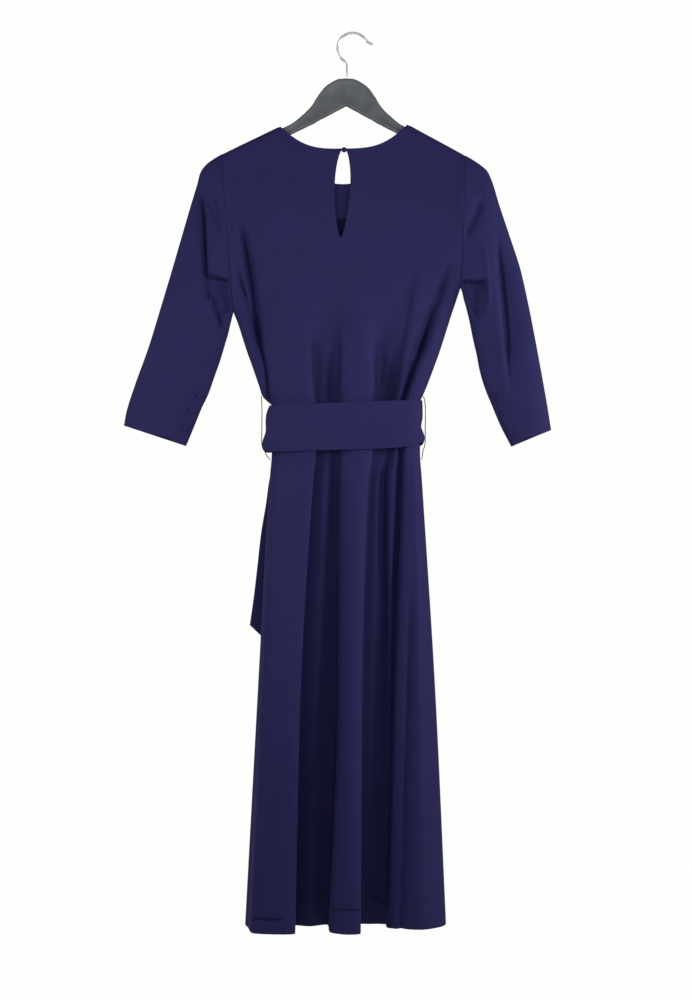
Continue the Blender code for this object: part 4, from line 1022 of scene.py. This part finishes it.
def belt():
    rings = curve_through(BELT_ROWS, BELT_STEPS)
    share = (np.arange(len(rings)) / (len(rings) - 1))[:, None]
    for name, face in (("belt_front", 1), ("belt_back", -1)):
        angle = face * np.pi * np.arange(BELT_COLUMNS + 1)[None, :] / BELT_COLUMNS
        square = BELT_SQUARE * ease((np.abs(angle) - SQUARE_FROM) / SQUARE_OVER)
        along, across = rounded(angle, BELT_POWER + square)
        x = mix(rings[:, 2:3], rings[:, 3:4], (along + 1) / 2)
        z = mix(rings[:, 0:1], rings[:, 1:2], (along + 1) / 2)
        z = z + BELT_CURL * np.exp(-((angle - CURL_AT) / CURL_WIDTH) ** 2) * share ** 3
        relief = creases_at(BELT_CREASES[face], x, z) + BELT_WAVES * slow_waves(x, z, 3 * face, 60, 30)
        y = across * rings[:, 4:5] + face * relief * np.abs(np.sin(angle)) ** 0.5
        grid = np.stack([x, y, z], axis=-1)
        for row in grid:
            off_plane(row[0], row[1], face, 0.0, DOUBLE_CLOTH, 0)
            off_plane(row[-1], row[-2], face, 0.0, DOUBLE_CLOTH, 0)
        made = cloth(name, grid, DOUBLE_CLOTH, edge_round=DOUBLE_ROUND)


KNOT_CENTRE = (-75.0, 44.5, -624.0)
KNOT_SIZE = (46.0, 30.0, 52.0)
KNOT_RINGS, KNOT_SIDES, KNOT_POWER, KNOT_SLANT = 44, 56, 2.5, 3.5
KNOT_SWELL, KNOT_TIP, KNOT_PINCH, PINCH_WIDTH = 3.2, 0.04, 0.13, 0.35
KNOT_PLEAT, KNOT_PLEATS, PLEAT_SKEW = 0.05, 15, 1.8


def belt_knot():
    """The belt's knot: a band wrapped over itself, pleated round its waist."""
    rings = []
    for k in range(KNOT_RINGS + 1):
        share = 2 * k / KNOT_RINGS - 1
        swell = max(max(1 - abs(share) ** KNOT_SWELL, 0.0) ** 0.5, KNOT_TIP)
        pinch = 1 - KNOT_PINCH * math.exp(-(share / PINCH_WIDTH) ** 2)
        ring = []
        for turn in range(KNOT_SIDES):
            angle = 2 * math.pi * turn / KNOT_SIDES
            up, deep = rounded(angle, KNOT_POWER)
            pleat = math.sin(KNOT_PLEATS * share + PLEAT_SKEW * math.sin(angle))
            size = swell * pinch * (1 + KNOT_PLEAT * pleat * (1 - abs(share)) ** 0.5)
            x = KNOT_CENTRE[0] + share * KNOT_SIZE[0] / 2
            z = KNOT_CENTRE[2] + KNOT_SLANT * up * share + up * size * KNOT_SIZE[2] / 2
            y = KNOT_CENTRE[1] + deep * size * KNOT_SIZE[1] / 2
            on_belt, _ = landing("belt_front", x, z, 1)
            if on_belt:
                y = max(y, on_belt.y + DOUBLE_CLOTH / 2 + SEAM)
            ring.append((x, y, z))
        rings.append(ring)
    made = skinned("belt_knot_crepe", rings)
    layer = made.data.uv_layers.new(name="cloth").data
    for loop in made.data.loops:
        at = made.data.vertices[loop.vertex_index].co
        layer[loop.index].uv = (at.x, at.z)
    finished(made, "belt_knot")


TieEnd = namedtuple("TieEnd", "left right lead")
TIE_ROWS = (-651, -698, -744, -792, -836, -887, -937)
TIE_ENDS = {    # x of the two edges at the rows, and how much lower the inner edge ends
    "left": TieEnd((-93, -123, -130, -138, -143, -149, -156), (-76, -80, -81, -82, -82, -83, -84), 70.0),
    "right": TieEnd((-73, -72, -70, -68, -66, -63, -60), (-56, -36, -28, -20, -13, -6, 2), -52.0),
}
TIE_BOW, TIE_COLUMNS, TIE_FINE, TIE_ROOM = 3.0, 22, 10, 12
TIE_LIFT, TIE_FALL = 0.6, 3.0                # off the skirt, and nearer to it at each row
TIE_PLEAT, TIE_GATHER, TIE_RIPPLE = 1.2, 1.6, 0.5


def tie_end(side, front):
    """One hanging end of the belt, lying on the skirt's front, with its slanting cut."""
    end = TIE_ENDS[side]
    lift = (CAD_CLOTH + DOUBLE_CLOTH) / 2 + SEAM + TIE_LIFT
    last = len(TIE_ROWS) - 1
    fine = np.linspace(0, last, last * TIE_FINE + 1)[:, None]
    z = steady(-np.arange(last + 1), TIE_ROWS, -fine)
    stand = []
    for r, height in enumerate(TIE_ROWS):
        row = front[np.argmin(np.abs(front[:, 0, 2] - height))]
        under = row[(row[:, 0] > end.left[r] - TIE_ROOM) & (row[:, 0] < end.right[r] + TIE_ROOM), 1]
        stand.append(max(under.max() + lift, KNOT_CENTRE[1] - TIE_FALL * r))
    for r in range(1, last):
        stand[r] = max(stand[r], (stand[r - 1] + stand[r + 1]) / 2)
    share = np.linspace(0, 1, TIE_COLUMNS + 1)[None, :]
    slant = share if end.lead > 0 else 1 - share
    x = mix(steady(TIE_ROWS, end.left, z), steady(TIE_ROWS, end.right, z), share)
    pleats = TIE_PLEAT * np.exp(-fine / TIE_GATHER) * np.sin(share * 4 * np.pi)
    pleats = pleats + TIE_RIPPLE * np.sin(share * 2 * np.pi + fine)
    y = steady(TIE_ROWS, stand, z) + (TIE_BOW + pleats) * np.sin(np.pi * share)
    grid = np.stack([x, y, z - abs(end.lead) * slant * (fine / last) ** 3], axis=-1)
    made = cloth("tie_end_" + side, grid, DOUBLE_CLOTH, edge_round=DOUBLE_ROUND)


LOOP_ENDS = (-572.0, -673.0)


def belt_loop(side):
    """Thread loop at the side seam, which the belt passes through."""
    out = OUTWARDS[side]
    room = out * (DOUBLE_CLOTH / 2 + THREAD / 2 + SEAM)
    xs, zs = ([getattr(row, axis + side) for row in BELT_ROWS] for axis in ("x_", "z_"))
    clear = max(xs, key=abs) + room
    seam = []
    for z in LOOP_ENDS:
        x, _, plane = edge(side, z)
        seam.append((float(x) + out * (CAD_CLOTH / 2 + THREAD / 2 + SEAM + 0.4), float(plane), z))
    top = LOOP_ENDS[0]
    points = [seam[0], (mix(seam[0][0], clear, 0.5), 0, top - 5), (clear, 0, top - 14),
              (clear, 0, zs[3]), (clear, 0, zs[4]), (xs[5] + room, 0, zs[5]), (xs[6] + room, 0, zs[6]),
              (xs[6] + room * 0.4, 0, zs[6] - 3.6), seam[1]]
    finished(twisted("belt_loop_%s_thread" % side, points, 34), "belt_loop_" + side, "thread")


# --- the hanger
HangerSection = namedtuple("HangerSection", "x top bottom half_depth")
HANGER_SECTIONS = (         # one arm, from the crown to the tip
    (0, -71, -114, 6.5), (12, -72, -120, 6.5), (21, -76, -125, 6.5), (34, -85, -132, 6.5),
    (42, -95, -136, 6.5), (48, -104, -140, 6.5), (54, -114, -143, 6.5), (62, -123, -147, 6.5),
    (72, -132, -152, 6.0), (86, -143, -159, 5.5), (98, -149, -165, 5.5), (147, -173, -187, 5.5),
    (166, -185.4, -197.2, 5.0), (187, -197.4, -208, 4.3), (205, -207.5, -218, 4.2),
    (214, -213, -222, 4.0), (218, -216, -221.5, 3.2),
)
HANGER_CENTRE_X, HANGER_TILT = -0.5, -0.007
HANGER_RIM, HANGER_SLOPE, HANGER_RECESS, HANGER_RECESS_END = 1.0, 0.4, 0.7, 170.0
HANGER_EDGE, HANGER_FINE_EDGE = 2.4, 0.15    # how far its outer and inner edges are rounded
CROWN_END, CROWN_STEP = 96, 4


def faces_where(made, test):
    """Select the faces of the mesh in edit mode that pass a test."""
    bpy.ops.mesh.select_all(action="DESELECT")
    shape = bmesh.from_edit_mesh(made.data)
    for face in shape.faces:
        face.select_set(test(face))
    shape.select_flush_mode()
    bmesh.update_edit_mesh(made.data)


def hanger_steps():
    """The sections at small steps along the crown, so that its outline is round."""
    places, *columns = zip(*HANGER_SECTIONS)
    steps = [*range(0, CROWN_END, CROWN_STEP), *(x for x in places if x > CROWN_END)]
    curves = [steady(-np.array(places), values, -np.array(steps)) for values in columns]
    return [HangerSection(*row) for row in np.transpose([steps, *curves]).tolist()]


def hanger_body():
    """Crown and two arms: one arm drawn out section by section, mirrored, and recessed."""
    first, *steps = hanger_steps()
    middle = (first.top + first.bottom) / 2
    bpy.ops.mesh.primitive_cube_add(size=1, location=(0.5 * MM, 0, middle * MM))
    made = bpy.context.object
    made.scale = (MM, 2 * first.half_depth * MM, (first.top - first.bottom) * MM)
    bpy.ops.object.transform_apply()
    bpy.ops.object.mode_set(mode="EDIT")
    bpy.ops.mesh.select_mode(type="FACE")
    faces_where(made, lambda face: face.normal.x > 0.9)
    before = first._replace(x=1)
    for at in steps:
        old_middle, middle = middle, (at.top + at.bottom) / 2
        draw_out(at.x - before.x, middle - old_middle)
        bpy.ops.transform.resize(
            value=(1, at.half_depth / before.half_depth,
                   (at.top - at.bottom) / (before.top - before.bottom)),
            center_override=(at.x * MM, 0, middle * MM))
        before = at
    faces_where(made, lambda face: face.normal.x < -0.9 and abs(face.calc_center_median().x) < 0.0001)
    bpy.ops.mesh.delete(type="FACE")
    bpy.ops.object.mode_set(mode="OBJECT")
    apply_modifier(made, "MIRROR", use_clip=True, merge_threshold=0.00001)
    bpy.ops.object.mode_set(mode="EDIT")
    bpy.ops.mesh.select_all(action="SELECT")
    bpy.ops.mesh.normals_make_consistent(inside=False)
    bpy.ops.object.mode_set(mode="OBJECT")
    round_edges(made, HANGER_EDGE, 3, 50)
    bpy.ops.object.mode_set(mode="EDIT")
    faces_where(made, lambda face: abs(face.normal.y) > 0.995
                and abs(face.calc_center_median().x) < HANGER_RECESS_END * MM)
    bpy.ops.mesh.inset(thickness=HANGER_RIM * MM, depth=0.0)
    bpy.ops.mesh.inset(thickness=HANGER_SLOPE * MM, depth=-HANGER_RECESS * MM)
    bpy.ops.object.mode_set(mode="OBJECT")
    made.name = made.data.name = "hanger_body_plastic"
    made.location.x = (HANGER_CENTRE_X + DRESS_MIDDLE) * MM
    made.rotation_euler.y = math.atan(-HANGER_TILT)
    bpy.ops.object.transform_apply()
    round_edges(made, HANGER_FINE_EDGE, 2, 40)
    made.data.shade_smooth()
    return finished(made, "hanger_body", "plastic")


HOOK_WIRE, HOOK_ROUND, HOOK_STEP = 3.6, 0.8, 5
Bend = namedtuple("Bend", "radius turn straight")
HOOK_FOOT = (-9.5, -78.7)           # world x and z of the wire's lower end, which leads up
HOOK_BENDS = (                      # turn in degrees, to the left when positive, and the run after it
    Bend(0.0, 0.0, 27.0),
    Bend(12.0, 50.0, 3.85),
    Bend(21.05, -30.0, 0.0),
    Bend(24.5, -168.0, 0.0),
    Bend(12.0, 42.0, 4.5),
)


def hanger_hook():
    """Plated wire: a stem, a slanting neck, a round bow and a flared tip, bent from one rod."""
    x, z = HOOK_FOOT
    bpy.ops.mesh.primitive_circle_add(vertices=16, radius=HOOK_WIRE / 2 * MM, fill_type="NGON",
                                      location=(x * MM, 0, z * MM))
    made = bpy.context.object
    bpy.ops.object.transform_apply()
    bpy.ops.object.mode_set(mode="EDIT")
    bpy.ops.mesh.select_mode(type="FACE")
    bpy.ops.mesh.select_all(action="SELECT")
    heading = 90.0
    for bend in HOOK_BENDS:
        if bend.turn:
            side = math.copysign(90, bend.turn)
            normal, away = math.radians(heading + side), math.radians(heading - side + bend.turn)
            x, z = x + bend.radius * math.cos(normal), z + bend.radius * math.sin(normal)
            bpy.ops.mesh.spin(steps=max(6, round(abs(bend.turn) / HOOK_STEP)), angle=math.radians(bend.turn),
                              center=(x * MM, 0, z * MM), axis=(0, 1, 0))
            x, z = x + bend.radius * math.cos(away), z + bend.radius * math.sin(away)
            heading += bend.turn
        if bend.straight:
            dx = bend.straight * math.cos(math.radians(heading))
            dz = bend.straight * math.sin(math.radians(heading))
            draw_out(dx, dz)
            x, z = x + dx, z + dz
    bpy.ops.mesh.select_all(action="SELECT")
    bpy.ops.mesh.remove_doubles(threshold=0.00001)
    bpy.ops.mesh.normals_make_consistent(inside=False)
    bpy.ops.object.mode_set(mode="OBJECT")
    made.name = made.data.name = "hanger_hook_wire"
    round_edges(made, HOOK_ROUND, 3, 60)
    made.data.shade_smooth()
    return finished(made, "hanger_hook", "wire")


# --- build
def build():
    make_finishes()
    lay_floor()
    back, _ = panel("dress_back", BACK_FOLDS, FRONT_FOLDS, -1, BACK_CREASES, 1.3, keyhole=True)
    front, front_grid = panel("dress_front", FRONT_FOLDS, BACK_FOLDS, 1, FRONT_CREASES, 5.1)
    button = covered_button()
    for side in ("left", "right"):
        arm = sleeve(side)
        strip = cuff(side, button)
        tie_end(side, front_grid)
        belt_loop(side)
    facing = neck_facing()
    neck_fastening(button)
    bpy.data.objects.remove(button, do_unlink=True)
    belt()
    belt_knot()
    hanger_body()
    set_cards(hanger_hook())


set_camera()
set_light()
build()
